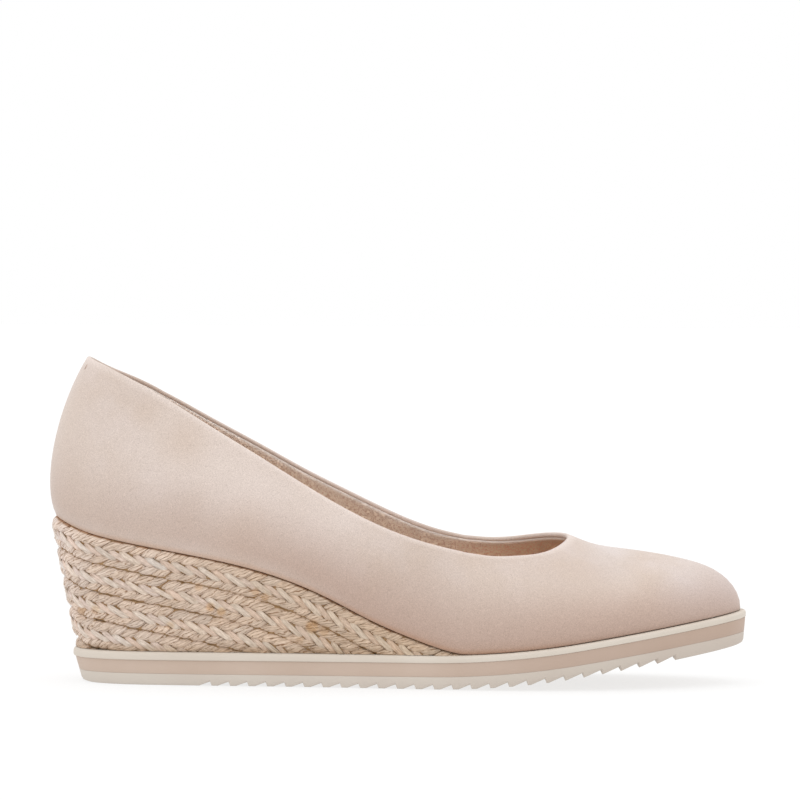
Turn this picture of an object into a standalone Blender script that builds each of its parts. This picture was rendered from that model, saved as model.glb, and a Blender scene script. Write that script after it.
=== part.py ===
"""Espadrille wedge pump, right shoe.

Frame: toe +X, up +Z, outer side of the foot -Y. Tables are in millimetres.
The feather line is the lower edge of the upper; every piece is placed from it.
"""
import math

import bpy
import bmesh
import numpy as np
from mathutils import Vector

MM = 0.001

HEEL_X = -122.2
TOE_X = 123.7
GAP = 0.3

OUTSOLE_TOP = 4.0
BAND_BOTTOM = 4.3
BAND_TOP = 9.0
WELT_BOTTOM = 9.3
WELT_TOP = 11.9
WELT_WIDTH = 4.6
BAND_SETBACK_HEEL = 0.7
BAND_SETBACK_TOE = 0.2
SOLE_CORNER = 1.2

SPRING_START = 10.0
SPRING_BLEND = 55.0
SPRING_SLOPE = 0.165

TOOTH_COUNT = 26
TOOTH_PITCH = 6.56
TOOTH_FIRST = -66.0
TOOTH_DEPTH = 1.45
TOOTH_FACE = 0.55
TOOTH_RAMP = 3.9
TOOTH_LAND = 0.3
SPRING_FULL_RAMP = 5.0

UPPER_WALL = 1.8
AXIS_X = -85.0
UPPER_ROWS = 10
VAMP_X = 12.0
VAMP_LINES = 44
VAMP_BLEND = 0.28
THROAT = (60.9, 1.0)
THROAT_GUIDES = (4.0, 12.0, 22.0, 32.0, 42.0, 51.0)

BRAID_WIDTH = 9.8
BRAID_WIDTH_BACK = 10.8
BRAID_THICK = 2.8
BRAID_INSET = 0.8
BRAID_COUNT = 5
BRAID_LEAST = 0.9

INSOLE_THICK = 2.6
INSOLE_MARGIN = 2.6

# Plan of the feather line: half width about a bent centre line; how far the welt
# stands outside it, the inward draft of the sole's side, and how far the braid's crest
# stands outside it at the top of the wedge.
PLAN = (
    # x, half_width, centre_y, sole_edge, sole_draft, braid_edge
    (-122.2, 0.0, 0.0, -6.2, 0.28, 2.5),
    (-118.0, 14.4, 0.0, -5.4, 0.26, 2.4),
    (-110.0, 21.7, 0.0, -3.6, 0.22, 2.1),
    (-97.0, 26.2, 0.1, -1.8, 0.16, 1.7),
    (-77.0, 28.0, 0.0, -0.8, 0.12, 1.4),
    (-40.0, 28.8, -0.9, 0.2, 0.10, 1.3),
    (0.0, 32.0, -1.9, 1.4, 0.08, 1.2),
    (30.0, 36.4, -1.5, 2.0, 0.08, 1.2),
    (50.0, 38.0, -0.4, 2.1, 0.08, 1.2),
    (70.0, 37.2, 1.0, 2.1, 0.08, 1.2),
    (90.0, 32.2, 2.8, 2.1, 0.08, 1.2),
    (105.0, 24.8, 4.3, 2.0, 0.08, 1.2),
    (115.0, 17.3, 5.3, 2.0, 0.08, 1.2),
    (120.0, 11.3, 5.8, 2.0, 0.08, 1.2),
    (123.7, 0.0, 6.2, 2.0, 0.08, 1.2),
)

# Height of the feather line over the wedge; ahead of the last row it lies on the welt.
SEAT = (
    # x, height
    (-122.2, 58.8),
    (-118.0, 56.9),
    (-110.0, 53.8),
    (-99.0, 51.2),
    (-87.0, 48.9),
    (-70.0, 45.8),
    (-49.0, 41.0),
    (-25.0, 32.2),
    (-10.0, 24.9),
    (0.0, 20.0),
    (9.0, 16.6),
    (14.5, 14.7),
    (19.0, 13.4),
    (24.0, 12.5),
)

# Sole layers along the shoe: how far the joints of outsole, band and welt leave their heights.
LAYERS = (
    # x, outsole_joint, welt_joint
    (-122.2, 0.0, -0.30),
    (-90.0, 0.0, -0.30),
    (-35.0, 0.05, -0.20),
    (0.0, 0.25, 0.0),
    (30.0, 0.45, 0.20),
    (60.0, 0.50, 0.30),
    (95.0, 0.45, 0.25),
    (123.7, 0.10, 0.0),
)

# Sections of the last, feather line to crown: crown height, how far the crown lies
# towards the inner side, how far the wall swells outward, how high it stays upright,
# and how far the crown stays flat towards either side.
LAST = (
    # x, crown, crown_in, swell, upright, flat_outer, flat_inner
    (-122.2, 135.0, 0.0, 9.2, 0.20, 0.785, 0.785),
    (-110.0, 135.0, 0.0, 8.0, 0.21, 0.785, 0.785),
    (-85.0, 135.0, 0.0, 6.0, 0.27, 0.77, 0.77),
    (-60.0, 123.0, 1.0, 6.0, 0.35, 0.67, 0.69),
    (-30.0, 106.0, 3.0, 6.0, 0.40, 0.54, 0.62),
    (0.0, 86.5, 5.6, 6.5, 0.46, 0.43, 0.57),
    (25.0, 70.5, 7.8, 7.0, 0.50, 0.37, 0.56),
    (45.0, 59.3, 8.8, 7.5, 0.52, 0.35, 0.56),
    (60.7, 53.1, 8.8, 7.5, 0.52, 0.36, 0.57),
    (70.0, 49.5, 8.1, 7.3, 0.52, 0.39, 0.575),
    (79.0, 48.0, 7.0, 6.8, 0.52, 0.43, 0.58),
    (90.9, 46.5, 5.4, 5.8, 0.52, 0.50, 0.60),
    (105.3, 43.7, 3.2, 4.4, 0.50, 0.56, 0.60),
    (112.5, 41.3, 2.0, 3.5, 0.50, 0.59, 0.61),
    (119.7, 36.2, 0.7, 2.2, 0.50, 0.61, 0.61),
    (123.7, 26.7, 0.0, 0.8, 0.50, 0.62, 0.62),
)

# Height of the topline on the outer and the inner side of the foot, up to the throat.
TOPLINE = (
    # x, outer, inner
    (-122.2, 116.2, 116.2),
    (-118.0, 115.2, 115.0),
    (-110.0, 112.9, 112.5),
    (-97.0, 108.4, 108.1),
    (-87.0, 104.2, 104.1),
    (-67.3, 92.6, 93.6),
    (-47.3, 80.5, 82.9),
    (-33.8, 72.2, 75.5),
    (-15.8, 62.0, 66.6),
    (0.9, 54.6, 58.7),
    (13.6, 50.7, 54.0),
    (23.5, 48.4, 51.7),
    (33.5, 46.9, 50.8),
    (41.0, 46.9, 51.2),
    (48.6, 47.3, 52.2),
    (53.0, 48.1, 53.0),
)

# Cross-section of a braid: share of its width from the top, and depth below its crest.
BRAID_SECTION = (
    # across, depth
    (0.00, 1.9),
    (0.12, 0.7),
    (0.30, 0.1),
    (0.50, 0.2),
    (0.70, 0.1),
    (0.88, 0.7),
    (1.00, 1.9),
)

# Colours and roughness of the materials.
LOOKS = {
    "nubuck": ((0.70, 0.55, 0.47, 1.0), 0.85),
    "footbed": ((0.52, 0.38, 0.29, 1.0), 0.8),
    "jute": ((0.60, 0.47, 0.36, 1.0), 0.9),
    "wedge_board": ((0.36, 0.25, 0.17, 1.0), 0.9),
    "welt_rubber": ((0.74, 0.67, 0.58, 1.0), 0.6),
    "band_rubber": ((0.58, 0.44, 0.36, 1.0), 0.6),
    "sole_rubber": ((0.62, 0.56, 0.48, 1.0), 0.65),
}


def turn(x):
    """Angle that runs from 0 at the heel's back to pi at the toe's tip."""
    share = (x - HEEL_X) / (TOE_X - HEEL_X)
    return math.acos(min(1.0, max(-1.0, 1.0 - 2.0 * share)))


def along(u):
    """Length position of an angle."""
    return HEEL_X + (TOE_X - HEEL_X) * (1.0 - math.cos(u)) / 2.0


def spline(us, values, heel=0, toe=0):
    """Natural cubic through the rows; heel and toe are +1 even, -1 odd or 0 free."""
    us = list(us)
    values = list(values)
    inner_us = us[:]
    inner = values[:]
    if heel:
        us = [-u for u in inner_us[:0:-1]] + us
        values = [heel * v for v in inner[:0:-1]] + values
    if toe:
        us = us + [2 * math.pi - u for u in inner_us[-2::-1]]
        values = values + [toe * v for v in inner[-2::-1]]
    us = np.array(us)
    values = np.array(values)
    n = len(us)
    h = np.diff(us)
    left = np.eye(n)
    right = np.zeros(n)
    for i in range(1, n - 1):
        left[i, i - 1:i + 2] = h[i - 1], 2 * (h[i - 1] + h[i]), h[i]
        rise = (values[i + 1] - values[i]) / h[i]
        right[i] = 6 * (rise - (values[i] - values[i - 1]) / h[i - 1])
    bend = np.linalg.solve(left, right)

    def at(u):
        i = int(np.clip(np.searchsorted(us, u) - 1, 0, n - 2))
        a = us[i + 1] - u
        b = u - us[i]
        cubic = (bend[i] * a ** 3 + bend[i + 1] * b ** 3) / (6 * h[i])
        first = (values[i] / h[i] - bend[i] * h[i] / 6) * a
        return float(cubic + first + (values[i + 1] / h[i] - bend[i + 1] * h[i] / 6) * b)

    return at


def column(table, index, heel=1, toe=1):
    return spline([turn(row[0]) for row in table], [row[index] for row in table], heel, toe)


half_width = column(PLAN, 1, -1, -1)
centre_y = column(PLAN, 2)
sole_edge = column(PLAN, 3)
sole_draft = column(PLAN, 4)
braid_edge = column(PLAN, 5)
seat = column(SEAT, 1, 1, 0)
outsole_joint = column(LAYERS, 1)
welt_joint = column(LAYERS, 2)
crown_in = column(LAST, 2)
swell = column(LAST, 3)
upright = column(LAST, 4)
flat = {-1: column(LAST, 5), 1: column(LAST, 6)}
topline = {-1: column(TOPLINE, 1, 1, 0), 1: column(TOPLINE, 2, 1, 0)}


def spring(x):
    """Lift of the sole's flat bottom towards the toe."""
    run = min(max(x - SPRING_START, 0.0), SPRING_BLEND)
    past = max(x - SPRING_START - SPRING_BLEND, 0.0)
    return SPRING_SLOPE * (run * run / (2 * SPRING_BLEND) + past)


def feather_z(u):
    """Height of the feather line."""
    x = along(u)
    ground = WELT_TOP + GAP + spring(x)
    if x >= SEAT[-1][0]:
        return ground
    return max(seat(u), ground)


crown_lift = spline(
    [turn(row[0]) for row in LAST],
    [row[1] - feather_z(turn(row[0])) for row in LAST],
    1,
    -1,
)


def feather(u, side):
    """Plan point of the feather line; side is -1 outer, +1 inner."""
    return Vector((along(u), centre_y(u) + side * half_width(u)))


def outward(u, side):
    """Plan direction that points away from the shoe at the feather line."""
    if u < 1e-4:
        return Vector((-1.0, 0.0))
    if u > math.pi - 1e-4:
        return Vector((1.0, 0.0))
    d = feather(u + 5e-4, side) - feather(u - 5e-4, side)
    return Vector((-d.y, d.x)).normalized() * side


def beside(u, side, out, z):
    """Point beside the feather line at a height."""
    p = feather(u, side) + outward(u, side) * out
    return Vector((p.x, p.y, z))


def on_sole(u, side, out, z):
    """Point of a sole layer: its height is lifted by the toe spring."""
    p = beside(u, side, out, z)
    joints = (0.0, outsole_joint(u), welt_joint(u), 0.0)
    p.z += spring(p.x) + float(np.interp(z, (0.0, OUTSOLE_TOP, BAND_TOP, WELT_TOP), joints))
    return p


def ring(us, point):
    """Points round the shoe, outer side heel to toe, then inner side back."""
    outer = [point(u, -1) for u in us]
    inner = [point(u, 1) for u in us]
    if us[-1] > math.pi - 1e-4:
        return outer + inner[-2:0:-1]
    return outer + inner[:0:-1]


def material(name):
    mat = bpy.data.materials.get(name)
    if mat is None:
        colour, roughness = LOOKS[name]
        mat = bpy.data.materials.new(name)
        mat.use_nodes = True
        shader = mat.node_tree.nodes["Principled BSDF"]
        shader.inputs["Base Color"].default_value = colour
        shader.inputs["Roughness"].default_value = roughness
        mat.diffuse_color = colour
    return mat


def piece(name, bm, look):
    """Object of the parts collection from a mesh in millimetres."""
    bmesh.ops.scale(bm, vec=(MM, MM, MM), verts=bm.verts)
    mesh = bpy.data.meshes.new(name)
    bm.to_mesh(mesh)
    bm.free()
    obj = bpy.data.objects.new(name, mesh)
    mesh.materials.append(material(look))
    parts.objects.link(obj)
    return obj


def add_face(bm, verts):
    """Face without repeated corners."""
    corners = []
    for v in verts:
        if v not in corners:
            corners.append(v)
    if len(corners) > 2:
        bm.faces.new(corners)


def ring_solid(name, rings, look):
    """Solid from rings bottom to top; strips from side to side close both ends."""
    bm = bmesh.new()
    loops = [[bm.verts.new(p) for p in r] for r in rings]
    n = len(loops[0])
    for low, high in zip(loops, loops[1:]):
        for i in range(n):
            j = (i + 1) % n
            add_face(bm, (low[i], low[j], high[j], high[i]))
    for loop in (loops[0], loops[-1]):
        for i in range(n // 2):
            add_face(bm, (loop[i], loop[i + 1], loop[-i - 1], loop[-i % n]))
    bmesh.ops.recalc_face_normals(bm, faces=bm.faces)
    return piece(name, bm, look)


def swept_solid(name, sections, look, closed):
    """Solid from equal sections along a path."""
    bm = bmesh.new()
    loops = [[bm.verts.new(p) for p in s] for s in sections]
    k = len(loops[0])
    pairs = list(zip(loops, loops[1:]))
    if closed:
        pairs.append((loops[-1], loops[0]))
    else:
        bm.faces.new(loops[0])
        bm.faces.new(loops[-1])
    for a, b in pairs:
        for i in range(k):
            j = (i + 1) % k
            bm.faces.new((a[i], a[j], b[j], b[i]))
    bmesh.ops.recalc_face_normals(bm, faces=bm.faces)
    return piece(name, bm, look)


def spaced(x0, x1, step):
    """Angles of even steps in length between two positions."""
    count = max(1, round((x1 - x0) / step))
    return [turn(x0 + (x1 - x0) * i / count) for i in range(count + 1)]


def heel_turn(x1, count):
    """Angles round the heel's back up to a position."""
    return [turn(x1) * i / count for i in range(count)]


def toe_turn(x0, count):
    """Angles round the toe from a position to the tip."""
    u0 = turn(x0)
    return [u0 + (math.pi - u0) * (i + 1) / count for i in range(count)]


def wall_out(u, z):
    """Crest line of the braid outside the feather line at a height."""
    top = feather_z(u)
    low = sole_edge(u) - BRAID_INSET
    share = (z - WELT_TOP) / max(top - WELT_TOP, 1.0)
    return low + (braid_edge(u) - low) * min(max(share, 0.0), 1.0)


def braid_width(u):
    """Height taken by one braid: its width along the slope of the feather line."""
    step = 0.01
    a = beside(u - step, -1, 0.0, feather_z(abs(u - step)))
    b = beside(u + step, -1, 0.0, feather_z(u + step))
    run = math.hypot(b.x - a.x, b.y - a.y)
    slope = (b.z - a.z) / run
    blend = max(0.0, 1.0 - u / turn(-105.0))
    width = BRAID_WIDTH + (BRAID_WIDTH_BACK - BRAID_WIDTH) * blend
    return width * math.sqrt(1.0 + slope * slope)


def side_in(u, z):
    """Inset of the sole's drafted side below the top of the band."""
    return sole_draft(u) * (BAND_TOP - z)


def band_in(u):
    """Setback of the band from the welt's edge."""
    share = (along(u) - HEEL_X) / (TOE_X - HEEL_X)
    return BAND_SETBACK_HEEL + (BAND_SETBACK_TOE - BAND_SETBACK_HEEL) * share


def sole_side(us, inset, height):
    """Ring of a sole layer; inset is from the band's drafted face."""

    def point(u, side):
        z = height(u) if callable(height) else height
        out = sole_edge(u) - band_in(u) - inset - side_in(u, min(z, BAND_TOP))
        return on_sole(u, side, out, z)

    return ring(us, point)


def build_outsole():
    """Rubber sole with saw teeth across its bottom."""
    lifts = {}
    tread = []
    for k in range(TOOTH_COUNT):
        apex = TOOTH_FIRST + TOOTH_PITCH * k
        longest = TOOTH_PITCH - TOOTH_FACE - TOOTH_LAND
        share = min(1.0, spring(apex) / SPRING_FULL_RAMP)
        ramp = TOOTH_RAMP + (longest - TOOTH_RAMP) * share
        tread.append((apex - ramp, 0.0))
        tread.append((apex, TOOTH_DEPTH))
        tread.append((apex + TOOTH_FACE, 0.0))
    for x, lift in tread:
        lifts[turn(x)] = lift
    us = heel_turn(-100.0, 10) + spaced(-100.0, tread[0][0], 9.0)[:-1]
    us = us + sorted(lifts) + toe_turn(tread[-1][0], 11)
    rings = [
        sole_side(us, SOLE_CORNER, lambda u: lifts.get(u, 0.0)),
        sole_side(us, 0.0, lambda u: SOLE_CORNER + 0.6 * lifts.get(u, 0.0)),
        sole_side(us, 0.0, OUTSOLE_TOP),
    ]
    return ring_solid("outsole", rings, "sole_rubber")


def sole_stations():
    return heel_turn(-100.0, 11) + spaced(-100.0, 85.0, 9.0) + toe_turn(85.0, 13)


def build_midsole():
    """Band layer, with a plateau that fills the ring of the welt."""
    us = sole_stations()
    plateau = WELT_WIDTH + GAP - BAND_SETBACK_TOE
    rings = [
        sole_side(us, 0.0, BAND_BOTTOM),
        sole_side(us, 0.0, BAND_TOP),
        sole_side(us, plateau, BAND_TOP),
        sole_side(us, plateau, WELT_TOP),
    ]
    return ring_solid("midsole", rings, "band_rubber")


def build_welt():
    """Rounded bead all round the platform."""
    us = sole_stations()
    mid = (WELT_TOP + WELT_BOTTOM) / 2
    radius = (WELT_TOP - WELT_BOTTOM) / 2
    profile = [(WELT_WIDTH, WELT_BOTTOM)]
    for step in range(5):
        angle = math.radians(-90 + 45 * step)
        profile.append((radius * (1.0 - math.cos(angle)), mid + radius * math.sin(angle)))
    profile.append((WELT_WIDTH, WELT_TOP))
    rounds = []
    for inset, z in profile:
        rounds.append(ring(us, lambda u, side: on_sole(u, side, sole_edge(u) - inset, z)))
    return swept_solid("welt", list(zip(*rounds)), "welt_rubber", True)


def floor(u):
    """Height that the wedge and the braids stand at, over the welt."""
    return WELT_TOP + GAP + spring(along(u))


def run_out(height):
    """Angle where a height above the floor runs out."""
    u = 0.0
    while height(u) - floor(u) > BRAID_LEAST:
        u += 0.002
    return u


def build_wedge():
    """Heel under the upper, behind the braids."""
    end = run_out(lambda u: feather_z(u) - GAP)
    us = heel_turn(-100.0, 8) + spaced(-100.0, along(end), 8.0)
    back = BRAID_THICK + GAP

    def low(u, side):
        return beside(u, side, wall_out(u, WELT_TOP) - back, floor(u))

    def high(u, side):
        return beside(u, side, braid_edge(u) - back, feather_z(u) - GAP)

    return ring_solid("wedge", [ring(us, low), ring(us, high)], "wedge_board")


def build_braid(index):
    """One flat plait round the wedge, cut off below by the welt."""

    def top_of(u):
        return feather_z(u) - GAP - index * braid_width(u)

    end = run_out(top_of)
    us = heel_turn(-100.0, 9) + spaced(-100.0, 40.0, 5.0)
    us = [u for u in us if u < end - 0.01] + [end]
    sections = {-1: [], 1: []}
    for u in us:
        top = top_of(u)
        low = max(top - braid_width(u) + GAP, floor(u))
        for side in (-1, 1):
            points = []
            for across, depth in BRAID_SECTION:
                z = top + (low - top) * across
                points.append(beside(u, side, wall_out(u, z) - depth, z))
            for z in (low, top):
                points.append(beside(u, side, wall_out(u, z) - BRAID_THICK, z))
            sections[side].append(points)
    path = sections[-1][::-1] + sections[1][1:]
    return swept_solid("jute_braid_%d" % (index + 1), path, "jute", False)


def section(u, side):
    """Curve of the last from the feather line to its crown."""
    base = beside(u, side, 0.0, feather_z(u))
    if u > math.pi - 1e-4:
        return [base, base, base, base]
    hub = max(u, turn(AXIS_X))
    lift = crown_lift(u)
    crown = Vector((along(hub), centre_y(hub) + crown_in(hub), base.z + lift))
    away = Vector((base.x - crown.x, base.y - crown.y, 0.0))
    reach = away.length
    away.normalize()
    low = base + away * swell(u) + Vector((0.0, 0.0, upright(u) * lift))
    high = crown + away * flat[side](u) * reach
    return [base, low, high, crown]


def bezier(points, t):
    a, b, c, d = points
    s = 1.0 - t
    return a * s ** 3 + b * (3 * s * s * t) + c * (3 * s * t * t) + d * t ** 3


def share_where(curve, reached):
    """Share of a section at which a test becomes true."""
    low = 0.0
    high = 1.0
    for _ in range(40):
        mid = (low + high) / 2
        if reached(bezier(curve, mid)):
            high = mid
        else:
            low = mid
    return high


def on_map(u, side, share):
    """Flat map of the last: distance from the toe's tip and turn away from the crown."""
    angle = side * (1.0 - share) * math.pi / 2
    return np.array((math.cos(angle), math.sin(angle))) * (math.pi - u)


def on_last(spot):
    """Point of the last at a place of the flat map."""
    a, b = spot
    u = math.pi - math.hypot(a, b)
    side = 1 if b > 0 else -1
    share = 1.0 - abs(math.atan2(b, a)) / (math.pi / 2)
    return bezier(section(u, side), share)


def topline_spot(u, side):
    """Place of the topline on the flat map, by its height."""
    goal = topline[side](u)
    return on_map(u, side, share_where(section(u, side), lambda p: p.z > goal))


def throat_spots(count):
    """Even places round the throat, from the outer to the inner side."""
    u = turn(THROAT[0])
    tip = share_where(section(u, -1), lambda p: p.y > THROAT[1])
    guides = [turn(x) for x in THROAT_GUIDES]
    spots = [topline_spot(g, -1) for g in guides] + [on_map(u, -1, tip)]
    spots = spots + [topline_spot(g, 1) for g in reversed(guides)]
    steps = [0.0]
    for p, q in zip(spots, spots[1:]):
        steps.append(steps[-1] + (on_last(q) - on_last(p)).length)
    a_of = spline(steps, [p[0] for p in spots])
    b_of = spline(steps, [p[1] for p in spots])
    start = steps[THROAT_GUIDES.index(VAMP_X)]
    end = steps[-1 - THROAT_GUIDES.index(VAMP_X)]
    places = [start + (end - start) * i / count for i in range(count + 1)]
    return [np.array((a_of(s), b_of(s))) for s in places]


def wall_line(foot, top, straight):
    """Points of the last from the feather line to the topline."""
    line = []
    r0 = math.hypot(*foot)
    r1 = math.hypot(*top)
    t0 = math.copysign(math.pi / 2, foot[1])
    t1 = math.atan2(top[1], top[0])
    for k in range(UPPER_ROWS + 1):
        s = k / UPPER_ROWS
        r = r0 + (r1 - r0) * s
        t = t0 + (t1 - t0) * s
        turned = np.array((r * math.cos(t), r * math.sin(t)))
        direct = foot + (top - foot) * s
        line.append(on_last(turned + (direct - turned) * straight))
    return line


def upper_lines():
    """Wall lines all round, from the heel's back over the outer side and the toe."""
    us = heel_turn(AXIS_X, 9) + spaced(AXIS_X, VAMP_X, 7.0)[:-1]
    sides = {}
    for side in (-1, 1):
        sides[side] = [wall_line(on_map(u, side, 0.0), topline_spot(u, side), 0.0) for u in us]
    reach = math.pi - turn(VAMP_X)
    front = []
    for i, top in enumerate(throat_spots(VAMP_LINES)):
        q = i / VAMP_LINES
        w = min(1.0, min(q, 1.0 - q) / VAMP_BLEND)
        foot = np.array((0.0, reach * (2.0 * q - 1.0)))
        front.append(wall_line(foot, top, w * w * (3.0 - 2.0 * w)))
    return sides[-1] + front + sides[1][:0:-1]


def build_upper():
    """Lasted shell, open at the collar and underneath."""
    bm = bmesh.new()
    lines = [[bm.verts.new(p) for p in line] for line in upper_lines()]
    for a, b in zip(lines, lines[1:] + lines[:1]):
        for k in range(UPPER_ROWS):
            bm.faces.new((a[k], b[k], b[k + 1], a[k + 1]))
    obj = piece("upper", bm, "nubuck")
    shell = obj.modifiers.new("wall", "SOLIDIFY")
    shell.thickness = UPPER_WALL * MM
    shell.offset = -1.0
    shell.use_even_offset = True
    return obj


def build_insole():
    """Footbed on the wedge and the platform."""
    us = heel_turn(-100.0, 7) + spaced(-100.0, 85.0, 9.0) + toe_turn(85.0, 8)

    def level(z, inset):
        return ring(us, lambda u, side: beside(u, side, -inset, feather_z(u) + z))

    rings = [level(0.0, INSOLE_MARGIN + 0.4), level(INSOLE_THICK, INSOLE_MARGIN)]
    return ring_solid("insole", rings, "footbed")


for old in list(bpy.data.objects):
    bpy.data.objects.remove(old, do_unlink=True)

parts = bpy.data.collections.new("wedge_pump")
bpy.context.scene.collection.children.link(parts)

build_outsole()
build_midsole()
build_welt()
build_wedge()
for number in range(BRAID_COUNT):
    build_braid(number)
build_upper()
build_insole()
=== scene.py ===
import math

import bpy
import numpy as np
from mathutils import Matrix, Vector


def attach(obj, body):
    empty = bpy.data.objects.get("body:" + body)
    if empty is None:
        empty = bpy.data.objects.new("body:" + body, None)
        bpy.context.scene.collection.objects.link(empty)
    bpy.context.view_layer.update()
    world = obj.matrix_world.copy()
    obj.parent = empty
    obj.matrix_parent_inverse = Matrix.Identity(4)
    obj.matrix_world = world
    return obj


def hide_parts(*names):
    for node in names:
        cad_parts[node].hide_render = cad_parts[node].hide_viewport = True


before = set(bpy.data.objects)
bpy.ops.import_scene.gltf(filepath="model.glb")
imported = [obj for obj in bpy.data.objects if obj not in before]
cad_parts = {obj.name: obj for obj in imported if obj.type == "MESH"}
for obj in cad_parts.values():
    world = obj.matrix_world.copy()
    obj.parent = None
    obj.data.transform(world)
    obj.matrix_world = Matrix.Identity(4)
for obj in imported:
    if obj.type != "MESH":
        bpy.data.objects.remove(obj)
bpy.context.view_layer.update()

# Right shoe: toe +X, up +Z, outer side -Y. Sizes are in millimetres, as the shoe was cut.
MM = 0.001
HEEL_X = -122.2
TOE_X = 123.7
HEEL_BEND_X = -100.0
TOE_BEND_X = 85.0
STATION_SPACING = 4.0
GAP = 0.3
QUARTERS = (0.25, 0.5, 0.75)

# Small steps: angles at the shoe's ends and along it, halvings of a share, points that merge.
END_ANGLE = 1e-4
ANGLE_STEP = 5e-4
SLOPE_STEP = 0.01
HALVINGS = 40
MERGE = 1e-6

# Sole layers.
OUTSOLE_TOP = 4.1
BAND_BOTTOM = 4.12
BAND_TOP = 9.2
BAND_SETBACK_HEEL = 0.7
BAND_SETBACK_TOE = 0.2
WELT_BOTTOM = 9.22
WELT_TOP = 11.9
WELT_WIDTH = 4.6
WELT_SHELF = 2.2
WELT_ROUND = 1.25
WELT_ROUND_LOW = 0.4
ROUND_STEPS = 6
ROUND_MIDDLE = 0.3
LAYER_ROUND = 0.1
SOLE_CORNER = 1.2

# Toe spring.
SPRING_START = 10.0
SPRING_BLEND = 55.0
SPRING_SLOPE = 0.165

# Saw teeth. A tooth's lift is less at the outsole's side and corner than at its bottom.
TOOTH_COUNT = 26
TOOTH_PITCH = 6.56
TOOTH_FIRST = -66.0
TOOTH_DEPTH = 1.45
TOOTH_FACE = 0.55
TOOTH_RAMP = 3.9
TOOTH_LAND = 0.3
SPRING_FULL_RAMP = 5.0
TOOTH_LIFTS = (0.6, 0.88, 1.0)

# Wall lines of the upper.
AXIS_X = -85.0
HEEL_LINES = 20
WALL_SPACING = 3.4
WALL_STEPS = 26
WALL_REACH = 0.8
VAMP_X = 12.0
VAMP_LINES = 96
VAMP_BLEND = 0.28
THROAT = (60.9, 1.0)
THROAT_GUIDES = (4.0, 12.0, 22.0, 32.0, 42.0, 51.0)

# Nubuck, its folds, and the lining.
NUBUCK_THICK = 1.0
UPPER_ROWS = 24
FOLD_RADIUS = 0.9
FOLD_STEPS = 8
# Painted highlight along the rolled fold of the topline: its strength on the top wall row and over
# the fold, and how fast it fades.
FOLD_START_HIGHLIGHT = 0.4
FOLD_HIGHLIGHT = 0.5
FOLD_HIGHLIGHT_FADE = 0.12
FACING = 1.35
FACING_STEP = 0.3
LASTED_RADIUS = 0.7
LASTED_DROP = 0.3
LASTED_TURN = (85, 62, 40, 20)
LINING_ROWS = 13
LINING_START = 5.0
LINING_FOOT = 2.2
LINING_DEEP = 2.15
LINING_BACK_START = 1.0
LINING_BACK_DEEP = 1.2
BACK_STITCH = {"x": -111.3, "down": 3.8, "length": 2.0, "thick": 0.4, "blunt": 4.0}

# Footbed: strips across it, and the hollow in its middle.
FOOTBED_STRIPS = 16
FOOTBED_DISH = 0.5

# Braids round the wedge.
BRAID_COUNT = 5
BRAID_WIDTH = 9.8
BRAID_WIDTH_BACK = 10.8
BRAID_BACK_X = -105.0
BRAID_END_X = 23.5
BRAID_INSET = 0.8
BRAID_SUNK = 2.6
BRAID_EDGE_DROP = 5.0
BRAID_STATIONS = 260
BRAID_END_STEP = 0.004
BRAID_LEAN_STEP = 2.0
CUT_ABOVE_WELT = 0.1

# Plan of the feather line, the lower edge of the upper.
PLAN = (
    # x, half_width, centre_y, sole_edge, sole_draft, braid_edge
    (-122.2, 0.0, 0.0, -6.2, 0.28, 2.5),
    (-118.0, 14.4, 0.0, -5.4, 0.26, 2.4),
    (-110.0, 21.7, 0.0, -3.6, 0.22, 2.1),
    (-97.0, 26.2, 0.1, -1.8, 0.16, 1.7),
    (-77.0, 28.0, 0.0, -0.8, 0.12, 1.4),
    (-40.0, 28.8, -0.9, 0.2, 0.10, 1.3),
    (0.0, 32.0, -1.9, 1.4, 0.08, 1.2),
    (30.0, 36.4, -1.5, 2.0, 0.08, 1.2),
    (50.0, 38.0, -0.4, 2.1, 0.08, 1.2),
    (70.0, 37.2, 1.0, 2.1, 0.08, 1.2),
    (90.0, 32.2, 2.8, 2.1, 0.08, 1.2),
    (105.0, 24.8, 4.3, 2.0, 0.08, 1.2),
    (115.0, 17.3, 5.3, 2.0, 0.08, 1.2),
    (120.0, 11.3, 5.8, 2.0, 0.08, 1.2),
    (123.7, 0.0, 6.2, 2.0, 0.08, 1.2),
)

# Height of the feather line over the wedge.
SEAT = (
    # x, height
    (-122.2, 58.8),
    (-118.0, 56.9),
    (-110.0, 53.8),
    (-99.0, 51.2),
    (-87.0, 48.9),
    (-70.0, 45.8),
    (-49.0, 41.0),
    (-25.0, 32.0),
    (-10.0, 24.4),
    (0.0, 20.0),
    (9.0, 16.6),
    (14.5, 14.7),
    (19.0, 13.4),
    (24.0, 12.5),
)

# Sole layers along the shoe: how far the joints of outsole, band and welt leave their heights.
LAYERS = (
    # x, outsole_joint, welt_joint
    (-122.2, 0.0, -0.30),
    (-90.0, 0.0, -0.30),
    (-35.0, 0.05, -0.20),
    (0.0, 0.25, 0.0),
    (30.0, 0.45, 0.20),
    (60.0, 0.50, 0.30),
    (95.0, 0.45, 0.25),
    (123.7, 0.10, 0.0),
)

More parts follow.
